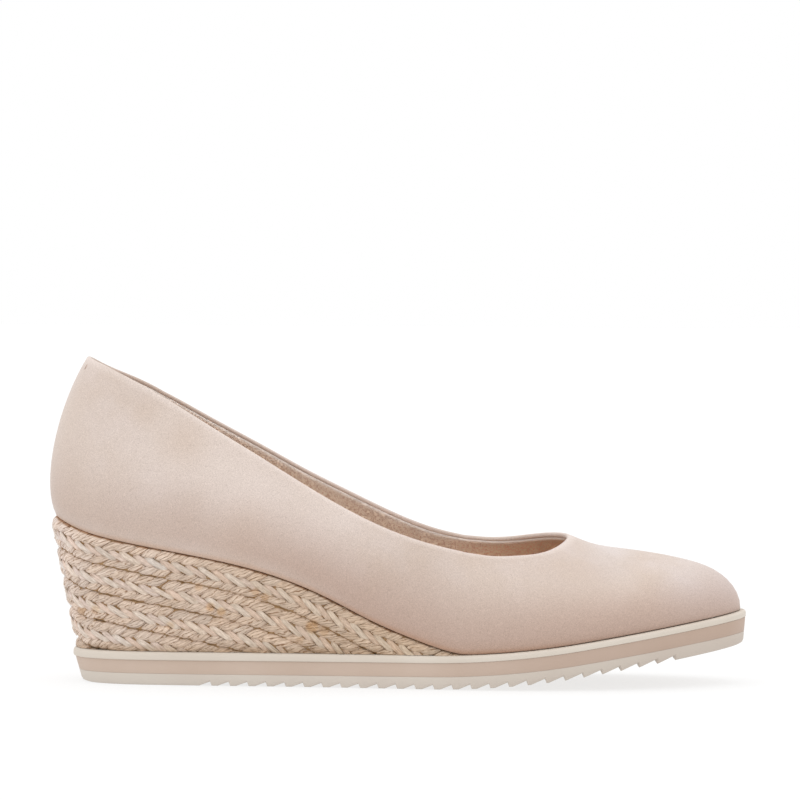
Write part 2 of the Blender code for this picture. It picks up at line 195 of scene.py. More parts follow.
# Sections of the last, feather line to crown.
LAST = (
    # x, crown, crown_in, swell, upright, flat_outer, flat_inner
    (-122.2, 135.0, 0.0, 9.2, 0.20, 0.785, 0.785),
    (-110.0, 135.0, 0.0, 8.0, 0.21, 0.785, 0.785),
    (-85.0, 135.0, 0.0, 6.0, 0.27, 0.77, 0.77),
    (-60.0, 123.0, 1.0, 6.0, 0.35, 0.67, 0.69),
    (-30.0, 106.0, 3.0, 6.0, 0.40, 0.54, 0.62),
    (0.0, 86.5, 5.6, 6.5, 0.46, 0.43, 0.57),
    (25.0, 70.5, 7.8, 7.0, 0.50, 0.37, 0.56),
    (45.0, 59.3, 8.8, 7.5, 0.52, 0.35, 0.56),
    (60.7, 53.1, 8.8, 7.5, 0.52, 0.36, 0.57),
    (70.0, 49.5, 8.1, 7.3, 0.52, 0.39, 0.575),
    (79.0, 48.0, 7.0, 6.8, 0.52, 0.43, 0.58),
    (90.9, 46.5, 5.4, 5.8, 0.52, 0.50, 0.60),
    (105.3, 43.7, 3.2, 4.4, 0.50, 0.56, 0.60),
    (112.5, 41.3, 2.0, 3.5, 0.50, 0.59, 0.61),
    (119.7, 36.2, 0.7, 2.2, 0.50, 0.61, 0.61),
    (123.7, 26.7, 0.0, 0.8, 0.50, 0.62, 0.62),
)

# Height of the topline on the outer and the inner side of the foot.
TOPLINE = (
    # x, outer, inner
    (-122.2, 116.2, 116.2),
    (-118.0, 114.9, 114.6),
    (-110.0, 112.7, 112.0),
    (-97.0, 108.4, 108.1),
    (-87.0, 104.2, 104.1),
    (-67.3, 92.6, 93.6),
    (-47.3, 80.5, 82.9),
    (-33.8, 72.2, 75.5),
    (-15.8, 62.0, 66.6),
    (0.9, 54.6, 58.7),
    (13.6, 50.7, 54.0),
    (23.5, 48.4, 51.7),
    (33.5, 46.9, 50.8),
    (41.0, 46.9, 51.2),
    (48.6, 47.3, 52.2),
    (53.0, 48.1, 53.0),
)

# Cross-section of a braid: share of its width from the top, depth below its crest.
BRAID_SECTION = (
    # across, depth
    (0.00, 0.85),
    (0.08, 0.42),
    (0.25, 0.08),
    (0.50, 0.05),
    (0.75, 0.08),
    (0.92, 0.42),
    (1.00, 0.85),
)

# Band below a braid's strands: share of the width from the top, height; front, then back.
GROUND_SECTION = (
    # across, height
    (0.0, -0.6),
    (0.1, -0.85),
    (0.38, -0.9),
    (0.5, -0.9),
    (0.64, -0.9),
    (0.9, -0.85),
    (1.02, -0.45),
    (1.0, -1.5),
    (0.5, -2.6),
    (0.0, -1.5),
)

# Edge of the footbed from below: inset from the feather line and height above it.
FOOTBED_EDGE = (
    # inset, height
    (1.5, 0.0),
    (1.5, 0.6),
    (2.6, 0.7),
    (2.6, 1.8),
    (2.85, 2.35),
    (3.4, 2.6),
)

# Bead along the lining's upper edge: drop below the facing, depth inside the wall, strength of the
# painted highlight along it.
LINING_BEAD = (
    # drop, deep, light
    (0.25, 1.2, 0.2),
    (0.0, 1.6, 0.8),
    (0.05, 2.0, 1.0),
    (0.35, 2.35, 0.8),
    (0.9, 2.5, 0.45),
    (1.8, 2.45, 0.2),
    (3.2, 2.25, 0.05),
)

# Floats of a plait lie in two columns: span across from the braid's top edge, lean from the
# braid's direction and thickness. Ribbons cross between them. A tuck is how deep a strand's ends
# go down and how sharply.
FLOATS = {
    # name: first, last, lean, thick
    "upper_float": (-0.5, 3.85, 46.0, 2.1),
    "lower_float": (6.1, 10.0, 46.0, 2.1),
}
STRAND_PITCH = 4.75
STRAND_SINK = 0.05
FLOAT_WIDTH = 5.2
FLOAT_FLATNESS = 0.62
FLOAT_BLUNT = 5.0
FLOAT_SKEW = 0.12
FLOAT_TUCK = (0.45, 3.0)
FLOAT_GIRTH = 9.5
RIBBON_ACROSS = 4.98
RIBBON_LEAN = -20.5
RIBBON_LENGTH = 10.4
RIBBON_WIDTH = 1.978
RIBBON_THICK = 0.8
RIBBON_BLUNT = 6.0
RIBBON_EDGE = 0.7
RIBBON_FLATNESS = 0.6
RIBBON_TUCK = (1.0, 2.6)
RIBBON_STEP = 0.14
RIBBON_GIRTH = 5.0

# The first braid bends in below the upper and carries a painted shadow there.
RIM_DEPTH = 1.2
RIM_SHARE = 0.3
RIM_BEND = 1.2
RIM_SHADE = 0.09
RIM_SHADE_SPREAD = (0.5, 1.2)
RIM_SHADE_DEPTH = 2.2
RIM_FADE = 28.0

# How far hand-laid strands stray.
STRAND_SEED = 40
FLOAT_STRAY = 0.18
RIBBON_STRAY = 0.12
END_SPREAD = 0.22
LEAN_SPREAD = 4.5
PLUMP_SPREAD = 0.07
HEIGHT_SPREAD = 0.1
RIBBON_LEAN_SPREAD = 1.8
RIBBON_LENGTH_SPREAD = 0.03
FLOAT_DYE_SPREAD = (3.2, 1.2)
RIBBON_DYE_SPREAD = (3.0, 1.5)
DYE_LIMITS = (250.0, 245.0, 240.0)
TAN_SHARE = 0.02

# Plies of the floats, on the strands' own map.
PLY_TURN = 16.0
PLY_WIDTH = 0.58
PLY_LINE = 0.22
PLY_WANDER = 1.6
MAP_SHIFT = 400.0

# Loose fibres. Some lean with the floats and the others with the ribbons.
FIBRE_SEED = 70
FIBRES_A_MM = 1.3
FIBRE_THICK = 0.12
FIBRE_THINNING = 0.7
FIBRE_ACROSS = (-0.1, 9.6)
FIBRE_LENGTH = (1.6, 4.6)
FIBRE_FLOAT_SHARE = 0.6
FIBRE_FLOAT_LEAN = (40.0, 22.0)
FIBRE_RIBBON_LEAN = (-15.0, 25.0)
FIBRE_CURL = 0.9
FIBRE_LIFT = 0.3
FIBRE_HEIGHT = 0.05
FIBRE_ROOT = 0.25
FIBRE_RISE = 0.15

# Cloudy places of the nubuck, seen from the side; the cool ones, strongest at the toe's tip, are
# partly a painted sheen.
NUBUCK_PATCHES = (
    # x, z, radius, strength, tone
    (-112.0, 90.0, 40.0, 0.16, "hide_pale"),
    (-88.0, 77.0, 34.0, 0.36, "hide_pale"),
    (-54.0, 69.0, 40.0, 0.66, "hide_pale"),
    (-72.0, 91.0, 24.0, 0.3, "hide_pale"),
    (-22.0, 60.0, 30.0, 0.5, "hide_pale"),
    (-75.0, 86.5, 13.0, 0.4, "hide_warm"),
    (-89.0, 97.0, 9.0, 0.3, "hide_warm"),
    (-98.0, 61.0, 14.0, 0.25, "hide_dull"),
    (-76.0, 60.0, 16.0, 0.35, "hide_dull"),
    (-54.0, 52.0, 18.0, 0.4, "hide_warm"),
    (11.0, 37.0, 22.0, 0.3, "hide_dull"),
    (62.0, 36.0, 28.0, 0.3, "hide_dull"),
    (74.0, 40.0, 10.0, 0.2, "hide_dull"),
    (76.0, 48.0, 14.0, 0.25, "hide_cool"),
    (108.0, 30.0, 22.0, 0.5, "hide_cool"),
    (121.0, 31.0, 14.0, 0.75, "hide_cool"),
)

# Painted shade on the jute just above the welt, and tan flecks, seen from the side.
WELT_JOIN_SHADE_HEIGHT = 3.5
FLECK_CORE = 0.4
JUTE_FLECKS = (
    # x, z, radius, strength
    (-70.0, 35.2, 2.0, 0.5),
    (-65.8, 28.0, 2.2, 0.75),
    (-62.0, 26.4, 2.2, 0.75),
    (-49.8, 33.6, 2.0, 0.5),
    (-46.6, 31.8, 2.0, 0.6),
    (-29.8, 21.4, 3.2, 0.85),
    (-25.6, 20.0, 2.6, 0.5),
    (-34.2, 16.4, 2.0, 0.3),
    (-106.8, 26.3, 2.2, 0.5),
    (-80.0, 21.3, 2.0, 0.5),
)

# Colours, eight bits a channel. A base colour goes over into its light one in a pattern.
TONES = {
    "hide": (200, 183, 171),
    "hide_light": (209, 195, 188),
    "hide_even": (204, 188, 177),
    # painted shade for the lower wall of the upper
    "hide_low": (184, 160, 147),
    "hide_pale": (225, 212, 205),
    "hide_warm": (198, 177, 160),
    "hide_dull": (190, 171, 159),
    "hide_cool": (218, 215, 219),
    "facing": (190, 170, 157),
    "facing_light": (212, 193, 181),
    # painted highlight of the topline's rolled fold
    "fold_highlight": (232, 220, 213),
    "thread": (164, 140, 126),
    "thread_light": (190, 166, 152),
    "pile": (222, 176, 148),
    "pile_light": (255, 235, 214),
    # painted highlight along the lining's bead
    "lining_rim_highlight": (246, 232, 222),
    "footbed": (190, 158, 136),
    "footbed_light": (200, 169, 148),
    "natural_float": (228, 208, 189),
    "tan_float": (214, 182, 150),
    "ivory_ribbon": (226, 211, 195),
    "pink_ribbon": (226, 205, 188),
    "ply_line": (168, 138, 108),
    # painted shade in the jute's hollows, and deeper under the upper's edge
    "jute_painted_shade": (190, 160, 132),
    "jute_painted_deep_shade": (206, 180, 156),
    # painted shade of the braids' ground, seen between strands
    "ground": (146, 114, 80),
    "ground_light": (178, 146, 110),
    "fibre": (222, 200, 172),
    "fibre_light": (242, 230, 214),
    "core": (104, 80, 58),
    "core_light": (140, 110, 82),
    "welt_rubber": (206, 195, 182),
    "welt_rubber_light": (211, 201, 189),
    "band_rubber": (193, 172, 156),
    "band_rubber_light": (198, 178, 163),
    "sole_rubber": (201, 190, 179),
    "sole_rubber_light": (205, 196, 185),
    "floor": (136, 136, 136),
    "floor_light": (138, 138, 138),
}

# Shares of a colour that are left where it is tinted.
# Painted shade along the upper's lower edge and in the crease at its feather line.
LOWER_EDGE_SHADE_TINT = (0.97, 0.93, 0.89, 1.0)
CREASE_SHADE_TINT = (0.96, 0.87, 0.79, 1.0)
THROAT_TINT = (1.14, 1.0, 0.875, 1.0)
# Painted light at the heel's end of the jute.
HEEL_END_LIGHT_TINT = (1.14, 1.18, 1.26, 1.0)
# Painted shade on the jute where it meets the welt.
WELT_JOIN_SHADE_TINT = (0.74, 0.68, 0.6, 1.0)
FLECK_TINT = (0.88, 0.7, 0.48, 1.0)
PLAIN_TINT = (1.0, 1.0, 1.0, 1.0)
# Painted shade towards the toe of the band and the outsole.
BAND_TOE_SHADE_TINT = (0.86, 0.82, 0.80, 1.0)
SOLE_TOE_SHADE_TINT = (0.915, 0.895, 0.885, 1.0)

# Tints at the two ends of a pattern.
NAP_TINTS = ((0.96, 0.955, 0.95, 1.0), (1.04, 1.04, 1.04, 1.0))
GRAIN_TINTS = ((0.79, 0.785, 0.78, 1.0), (1.21, 1.21, 1.21, 1.0))
FIBRE_TINTS = ((0.8, 0.765, 0.73, 1.0), (1.04, 1.04, 1.05, 1.0))
HAIR_TINTS = ((0.74, 0.705, 0.68, 1.0), (1.1, 1.1, 1.12, 1.0))
# Painted light and shade along the jute, from the heel to the front.
HEEL_TO_TOE_LIGHT_TINTS = ((1.07, 1.09, 1.12, 1.0), (0.88, 0.84, 0.76, 1.0))


# The last and the sole, as in the pattern


def turn(x):
    """Angle of a station: 0 at the heel's back, pi at the toe's tip."""
    share = (x - HEEL_X) / (TOE_X - HEEL_X)
    return math.acos(min(1.0, max(-1.0, 1.0 - 2.0 * share)))


def along(u):
    """Station of an angle."""
    return HEEL_X + (TOE_X - HEEL_X) * (1.0 - math.cos(u)) / 2.0


def spline(us, values, heel=0, toe=0):
    """Natural cubic through the rows; heel and toe are +1 even, -1 odd or 0 free."""
    first_us = us = list(us)
    first = values = list(values)
    if heel:
        us = [-u for u in first_us[:0:-1]] + us
        values = [heel * v for v in first[:0:-1]] + values
    if toe:
        us = us + [2 * math.pi - u for u in first_us[-2::-1]]
        values = values + [toe * v for v in first[-2::-1]]
    us = np.array(us)
    values = np.array(values)
    n = len(us)
    h = np.diff(us)
    left = np.eye(n)
    right = np.zeros(n)
    for i in range(1, n - 1):
        left[i, i - 1:i + 2] = h[i - 1], 2 * (h[i - 1] + h[i]), h[i]
        rise = (values[i + 1] - values[i]) / h[i]
        right[i] = 6 * (rise - (values[i] - values[i - 1]) / h[i - 1])
    bend = np.linalg.solve(left, right)

    def at(u):
        i = int(np.clip(np.searchsorted(us, u) - 1, 0, n - 2))
        a = us[i + 1] - u
        b = u - us[i]
        cubic = (bend[i] * a ** 3 + bend[i + 1] * b ** 3) / (6 * h[i])
        start = (values[i] / h[i] - bend[i] * h[i] / 6) * a
        return float(cubic + start + (values[i + 1] / h[i] - bend[i + 1] * h[i] / 6) * b)

    return at


def column(table, index, heel=1, toe=1):
    """Smooth run of one column of a table along the shoe."""
    return spline([turn(row[0]) for row in table], [row[index] for row in table], heel, toe)


half_width = column(PLAN, 1, -1, -1)
centre_y = column(PLAN, 2)
sole_edge = column(PLAN, 3)
sole_draft = column(PLAN, 4)
braid_edge = column(PLAN, 5)
seat = column(SEAT, 1, 1, 0)
outsole_joint = column(LAYERS, 1)
welt_joint = column(LAYERS, 2)
crown_in = column(LAST, 2)
swell = column(LAST, 3)
upright = column(LAST, 4)
flat = {-1: column(LAST, 5), 1: column(LAST, 6)}
topline = {-1: column(TOPLINE, 1, 1, 0), 1: column(TOPLINE, 2, 1, 0)}


def spring(x):
    """Rise of the sole towards the toe."""
    run = min(max(x - SPRING_START, 0.0), SPRING_BLEND)
    past = max(x - SPRING_START - SPRING_BLEND, 0.0)
    return SPRING_SLOPE * (run * run / (2 * SPRING_BLEND) + past)


def feather_z(u):
    """Height of the feather line."""
    x = along(u)
    ground = WELT_TOP + GAP + spring(x)
    if x >= SEAT[-1][0]:
        return ground
    return max(seat(u), ground)


crown_lift = spline(
    [turn(row[0]) for row in LAST],
    [row[1] - feather_z(turn(row[0])) for row in LAST],
    1,
    -1,
)


def feather(u, side):
    """Plan of the feather line; side is -1 outer, 1 inner."""
    return Vector((along(u), centre_y(u) + side * half_width(u)))


def outward(u, side):
    """Direction out of the plan."""
    if u < END_ANGLE:
        return Vector((-1.0, 0.0))
    if u > math.pi - END_ANGLE:
        return Vector((1.0, 0.0))
    d = feather(u + ANGLE_STEP, side) - feather(u - ANGLE_STEP, side)
    return Vector((-d.y, d.x)).normalized() * side


def beside(u, side, out, z):
    """Point outside the feather line, at a height."""
    p = feather(u, side) + outward(u, side) * out
    return Vector((p.x, p.y, z))


def on_sole(u, side, out, z):
    """Point of the sole, raised with the toe spring and the run of the joints."""
    p = beside(u, side, out, z)
    joints = (0.0, outsole_joint(u), welt_joint(u), 0.0)
    p.z += spring(p.x) + float(np.interp(z, (0.0, OUTSOLE_TOP, BAND_TOP, WELT_TOP), joints))
    return p


def spaced(x0, x1, step):
    """Angles of even steps between two stations."""
    count = max(1, round((x1 - x0) / step))
    return [turn(x0 + (x1 - x0) * i / count) for i in range(count + 1)]


def heel_turn(x1, count):
    """Angles round the heel, up to a station."""
    return [turn(x1) * i / count for i in range(count)]


def toe_turn(x0, count):
    """Angles from a station round the toe."""
    u0 = turn(x0)
    return [u0 + (math.pi - u0) * (i + 1) / count for i in range(count)]


def wall_out(u, z):
    """Crest of the braid outside the feather line at a height."""
    top = feather_z(u)
    low = sole_edge(u) - BRAID_INSET
    share = (z - WELT_TOP) / max(top - WELT_TOP, 1.0)
    return low + (braid_edge(u) - low) * min(max(share, 0.0), 1.0)


def section(u, side):
    """Curve of the last from the feather line to its crown."""
    base = beside(u, side, 0.0, feather_z(u))
    if u > math.pi - END_ANGLE:
        return [base, base, base, base]
    hub = max(u, turn(AXIS_X))
    lift = crown_lift(u)
    crown = Vector((along(hub), centre_y(hub) + crown_in(hub), base.z + lift))
    away = Vector((base.x - crown.x, base.y - crown.y, 0.0))
    reach = away.length
    away.normalize()
    low = base + away * swell(u) + Vector((0.0, 0.0, upright(u) * lift))
    high = crown + away * flat[side](u) * reach
    return [base, low, high, crown]


def bezier(points, t):
    a, b, c, d = points
    s = 1.0 - t
    return a * s ** 3 + b * (3 * s * s * t) + c * (3 * s * t * t) + d * t ** 3


def share_where(curve, reached):
    """Share of a curve at which its points come to a goal."""
    low = 0.0
    high = 1.0
    for _ in range(HALVINGS):
        mid = (low + high) / 2
        if reached(bezier(curve, mid)):
            high = mid
        else:
            low = mid
    return high


def on_map(u, side, share):
    """Flat map of the last: distance from the toe's tip and turn away from the crown."""
    angle = side * (1.0 - share) * math.pi / 2
    return np.array((math.cos(angle), math.sin(angle))) * (math.pi - u)


def on_last(spot):
    """Point of the last at a place on the map."""
    a, b = spot
    u = math.pi - math.hypot(a, b)
    side = 1 if b > 0 else -1
    share = 1.0 - abs(math.atan2(b, a)) / (math.pi / 2)
    return bezier(section(u, side), share)


def topline_spot(u, side):
    """Place of the topline on the map."""
    goal = topline[side](u)
    return on_map(u, side, share_where(section(u, side), lambda p: p.z > goal))


def throat_spots(count):
    """Places of the topline round the throat, in even steps."""
    u = turn(THROAT[0])
    tip = share_where(section(u, -1), lambda p: p.y > THROAT[1])
    guides = [turn(x) for x in THROAT_GUIDES]
    spots = [topline_spot(g, -1) for g in guides] + [on_map(u, -1, tip)]
    spots = spots + [topline_spot(g, 1) for g in reversed(guides)]
    steps = [0.0]
    for p, q in zip(spots, spots[1:]):
        steps.append(steps[-1] + (on_last(q) - on_last(p)).length)
    a_of = spline(steps, [p[0] for p in spots])
    b_of = spline(steps, [p[1] for p in spots])
    start = steps[THROAT_GUIDES.index(VAMP_X)]
    end = steps[-1 - THROAT_GUIDES.index(VAMP_X)]
    places = [start + (end - start) * i / count for i in range(count + 1)]
    return [np.array((a_of(s), b_of(s))) for s in places]


def wall_line(foot, top, straight):
    """Line up the last between two places on the map, turned about the toe's tip or straight."""
    line = []
    r0 = math.hypot(*foot)
    r1 = math.hypot(*top)
    t0 = math.copysign(math.pi / 2, foot[1])
    t1 = math.atan2(top[1], top[0])
    for k in range(WALL_STEPS + 1):
        s = k / WALL_STEPS
        r = r0 + (r1 - r0) * s
        t = t0 + (t1 - t0) * s
        turned = np.array((r * math.cos(t), r * math.sin(t)))
        direct = foot + (top - foot) * s
        line.append(on_last(turned + (direct - turned) * straight))
    return line


def upper_lines():
    """Wall lines all round, from the heel's back over the outer side and the toe."""
    us = heel_turn(AXIS_X, HEEL_LINES) + spaced(AXIS_X, VAMP_X, WALL_SPACING)[:-1]
    sides = {}
    for side in (-1, 1):
        sides[side] = [wall_line(on_map(u, side, 0.0), topline_spot(u, side), 0.0) for u in us]
    reach = math.pi - turn(VAMP_X)
    front = []
    for i, top in enumerate(throat_spots(VAMP_LINES)):
        q = i / VAMP_LINES
        w = min(1.0, min(q, 1.0 - q) / VAMP_BLEND)
        foot = np.array((0.0, reach * (2.0 * q - 1.0)))
        front.append(wall_line(foot, top, w * w * (3.0 - 2.0 * w)))
    return np.array(sides[-1] + front + sides[1][:0:-1])


# Bench tools


def take(obj):
    """One piece alone in hand."""
    bpy.ops.object.select_all(action="DESELECT")
    obj.select_set(True)
    bpy.context.view_layer.objects.active = obj


def skin(name, rows, ring=True, loop=False, marks=None):
    """Grid laid over rows of points; ring joins each row's ends, loop the first and last row."""
    rows = np.asarray(rows, float)
    marks = {key: np.asarray(value, float) for key, value in (marks or {}).items()}
    if ring:
        rows = np.concatenate([rows, rows[:, :1]], axis=1)
        marks = {key: np.concatenate([v, v[:, :1]], axis=1) for key, v in marks.items()}
    if loop:
        rows = np.concatenate([rows, rows[:1]], axis=0)
        marks = {key: np.concatenate([v, v[:1]], axis=0) for key, v in marks.items()}
    m, n = rows.shape[:2]
    bpy.ops.object.select_all(action="DESELECT")
    bpy.ops.mesh.primitive_grid_add(x_subdivisions=n - 1, y_subdivisions=m - 1, size=1.0)
    obj = bpy.context.object
    obj.name = name
    obj.data.name = name
    obj.data.vertices.foreach_set("co", (rows * MM).ravel())
    for key, value in marks.items():
        layer = obj.data.attributes.new(key, "FLOAT", "POINT")
        layer.data.foreach_set("value", value.ravel())
    bpy.ops.object.mode_set(mode="EDIT")
    bpy.ops.mesh.select_all(action="SELECT")
    bpy.ops.mesh.remove_doubles(threshold=MERGE)
    bpy.ops.mesh.dissolve_degenerate(threshold=MERGE)
    bpy.ops.mesh.select_all(action="SELECT")
    bpy.ops.mesh.normals_make_consistent(inside=False)
    bpy.ops.object.mode_set(mode="OBJECT")
    bpy.ops.object.shade_smooth()
    return obj


def ball(segments, rings):
    """Ball with its poles up and down, and its points."""
    bpy.ops.object.select_all(action="DESELECT")
    bpy.ops.mesh.primitive_uv_sphere_add(segments=segments, ring_count=rings, radius=1.0)
    obj = bpy.context.object
    points = np.empty(len(obj.data.vertices) * 3)
    obj.data.vertices.foreach_get("co", points)
    return obj, points.reshape(-1, 3)


def bundle(name, points, faces):
    """Many loose strands in one piece."""
    mesh = bpy.data.meshes.new(name)
    mesh.from_pydata((points * MM).tolist(), [], faces)
    obj = bpy.data.objects.new(name, mesh)
    bpy.context.collection.objects.link(obj)
    return obj


def between(first, second, share):
    """Row of points between two rows."""
    return [a.lerp(b, share) for a, b in zip(first, second)]


def keep_edges(obj, degrees):
    """Smooth shading that stops at the piece's edges."""
    take(obj)
    bpy.ops.object.shade_smooth_by_angle(angle=math.radians(degrees))


def fit(obj, material, slot, *nodes):
    """The piece gets its finish and stands for its nodes of the shoe."""
    obj.data.materials.clear()
    obj.data.materials.append(material)
    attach(obj, "root")
    if nodes:
        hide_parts(*nodes)


# Finishes


def tone(r, g, b):
    """Linear colour of an 8-bit one."""
    def linear(c):
        c = c / 255.0
        return c / 12.92 if c <= 0.04045 else ((c + 0.055) / 1.055) ** 2.4
    return (linear(r), linear(g), linear(b), 1.0)


def paint(name):
    return tone(*TONES[name])


class Nodes:
    """Node tree and the ways its nodes are laid."""

    def __init__(self, tree):
        self.tree = tree

    def add(self, kind, values=None, **settings):
        """Node with its settings; values are sockets or plain values."""
        made = self.tree.nodes.new(kind)
        for key, value in settings.items():
            setattr(made, key, value)
        for key, value in (values or {}).items():
            if isinstance(value, bpy.types.NodeSocket):
                self.tree.links.new(value, made.inputs[key])
            else:
                made.inputs[key].default_value = value
        return made

    def reckon(self, operation, *values):
        made = self.add("ShaderNodeMath", dict(enumerate(values)), operation=operation)
        return made.outputs["Value"]

    def times(self, product, *factors):
        for factor in factors:
            product = self.reckon("MULTIPLY", product, factor)
        return product

    def part(self, vector, axis):
        return self.add("ShaderNodeSeparateXYZ", {"Vector": vector}).outputs[axis]

    def reach(self, value, low, high, first=0.0, last=1.0):
        """Smooth passage from first to last while a value goes from low to high."""
        made = self.add("ShaderNodeMapRange", {
            "Value": value, "From Min": low, "From Max": high, "To Min": first, "To Max": last,
        }, interpolation_type="SMOOTHSTEP")
        return made.outputs["Result"]


class Finish(Nodes):
    """Material of a piece, coloured coat by coat."""

    def __init__(self, name, roughness, specular=0.3, sheen=0.0, sheen_roughness=0.5):
        self.material = bpy.data.materials.new(name)
        self.material.use_nodes = True
        super().__init__(self.material.node_tree)
        self.shader = self.tree.nodes["Principled BSDF"]
        self.shader.inputs["Roughness"].default_value = roughness
        self.shader.inputs["Specular IOR Level"].default_value = specular
        self.shader.inputs["Sheen Weight"].default_value = sheen
        self.shader.inputs["Sheen Roughness"].default_value = sheen_roughness
        self.where = self.add("ShaderNodeTexCoord").outputs["Object"]

    def spots(self, scale, detail=2.0, roughness=0.5, low=0.35, high=0.65, where=None):
        """Cloudy pattern from 0 to 1."""
        noise = self.add("ShaderNodeTexNoise", {
            "Vector": self.where if where is None else where,
            "Scale": scale, "Detail": detail, "Roughness": roughness,
        })
        spread = {"Value": noise.outputs["Fac"], "From Min": low, "From Max": high}
        return self.add("ShaderNodeMapRange", spread).outputs["Result"]

    def crumbs(self, scale, detail=2.0, where=None):
        """Rougher pattern, as of fibres, crumb or grain."""
        return self.spots(scale, detail, 0.6, 0.3, 0.7, where)

    def mark(self, name):
        """A value that the piece's mesh carries."""
        return self.add("ShaderNodeAttribute", attribute_name=name).outputs["Fac"]

    def lengthwise(self, start, end, first=0.0, last=1.0):
        """Smooth passage between two places along the shoe."""
        return self.reach(self.part(self.where, "X"), start * MM, end * MM, first, last)

    def upward(self, start, end, first=0.0, last=1.0):
        """Smooth passage between two heights."""
        return self.reach(self.part(self.where, "Z"), start * MM, end * MM, first, last)

    def side_view(self):
        """Places of the surface, seen from the shoe's side."""
        flat = {0: self.where, 1: (1.0, 0.0, 1.0)}
        return self.add("ShaderNodeVectorMath", flat, operation="MULTIPLY").outputs["Vector"]

    def near(self, view, x, z, core, radius, strength):
        """Strength round a spot, full in its core and fading out to its radius."""
        ends = {0: view, 1: (x * MM, 0.0, z * MM)}
        away = self.add("ShaderNodeVectorMath", ends, operation="DISTANCE").outputs["Value"]
        return self.reach(away, core * MM, radius * MM, strength, 0.0)

    def blend(self, share, first, second, kind="MIX"):
        ends = {0: share, 6: first, 7: second}
        return self.add("ShaderNodeMix", ends, data_type="RGBA", blend_type=kind).outputs[2]

    def coat(self, pattern, name):
        """Base colour that goes over into its light one."""
        return self.blend(pattern, paint(name), paint(name + "_light"))

    def tint(self, colour, share, shade):
        return self.blend(share, colour, shade, "MULTIPLY")

    def mottle(self, colour, pattern, shades):
        """Colour tinted all over, by a pattern between two shades."""
        return self.tint(colour, 1.0, self.blend(pattern, *shades))

    def raise_grain(self, height, depth, strength):
        bump = self.add("ShaderNodeBump", {
            "Height": height, "Strength": strength, "Distance": depth * MM,
        })
        self.tree.links.new(bump.outputs["Normal"], self.shader.inputs["Normal"])

    def painted(self, colour):
        """The finished material."""
        self.tree.links.new(colour, self.shader.inputs["Base Color"])
        return self.material


def nubuck_finish():
    hide = Finish("nubuck", roughness=0.92, specular=0.18, sheen=0.3, sheen_roughness=0.4)
    colour = hide.coat(hide.spots(scale=62.0, detail=4.0, roughness=0.55), "hide")
    colour = hide.blend(hide.spots(scale=27.0), colour, paint("hide_even"))
    view = hide.side_view()
    for x, z, radius, strength, name in NUBUCK_PATCHES:
        colour = hide.blend(hide.near(view, x, z, 0.0, radius, strength), colour, paint(name))

    # Painted shade low on the wall, where less light falls; less of it at the heel, at the toe's
    # tip and right next to the braids.
    rise = hide.mark("rise")
    low = hide.reach(rise, 0.0, 34.0, 1.0, 0.0)
    front = hide.lengthwise(-110.0, -10.0, 0.45, 1.0)
    toe_part = hide.lengthwise(70.0, 118.0, 1.0, 0.88)
    wedge_part = hide.lengthwise(-45.0, -5.0, 1.0, 0.0)
    foot = hide.reach(rise, 0.0, 7.0, 0.5, 0.0)
    spared = hide.reckon("SUBTRACT", 1.0, hide.times(foot, wedge_part))
    shaded = hide.times(low, spared, hide.times(front, toe_part))
    colour = hide.blend(shaded, colour, paint("hide_low"))

    # Painted shade, warm, along the lower edge, deepest in the crease at the feather line, and
    # little towards the toe.
    toeward = hide.lengthwise(20.0, 90.0, 1.0, 0.1)
    ahead = hide.lengthwise(-25.0, 20.0)
    lower_edge_shade = hide.times(hide.reach(rise, 0.0, 6.0, 1.0, 0.0), ahead, toeward)
    colour = hide.tint(colour, lower_edge_shade, LOWER_EDGE_SHADE_TINT)
    crease_shade = hide.times(hide.reach(rise, 0.2, 2.2, 1.0, 0.0), toeward)
    colour = hide.tint(colour, crease_shade, CREASE_SHADE_TINT)

    facing = hide.coat(hide.lengthwise(-50.0, 5.0), "facing")
    colour = hide.blend(hide.mark("facing"), colour, facing)
    # Painted highlight along the rolled fold of the topline.
    colour = hide.blend(hide.mark("fold_highlight"), colour, paint("fold_highlight"))
    nap = hide.spots(scale=1300.0, detail=3.0, roughness=0.65, low=0.25, high=0.75)
    grain = hide.spots(scale=3600.0, roughness=0.6, low=0.25, high=0.75)
    colour = hide.mottle(colour, nap, NAP_TINTS)
    colour = hide.mottle(colour, grain, GRAIN_TINTS)
    hide.raise_grain(nap, depth=0.14, strength=0.7)
    return hide.painted(colour)


def lining_finish():
    """Fleece, warmer at the throat, with a painted highlight along its edge."""
    fleece = Finish("lining", roughness=0.95, specular=0.1, sheen=0.5, sheen_roughness=0.4)
    pile = fleece.spots(scale=1500.0, detail=4.0, roughness=0.75, low=0.32, high=0.55)
    colour = fleece.coat(pile, "pile")
    colour = fleece.tint(colour, fleece.lengthwise(5.0, 45.0), THROAT_TINT)
    colour = fleece.blend(fleece.mark("painted_rim"), colour, paint("lining_rim_highlight"))
    fleece.raise_grain(pile, depth=0.3, strength=1.0)
    return fleece.painted(colour)


def footbed_finish():
    leather = Finish("footbed", roughness=0.75, specular=0.25, sheen=0.1)
    colour = leather.coat(leather.spots(scale=45.0, detail=3.0), "footbed")
    leather.raise_grain(leather.crumbs(scale=1600.0), depth=0.08, strength=0.7)
    return leather.painted(colour)


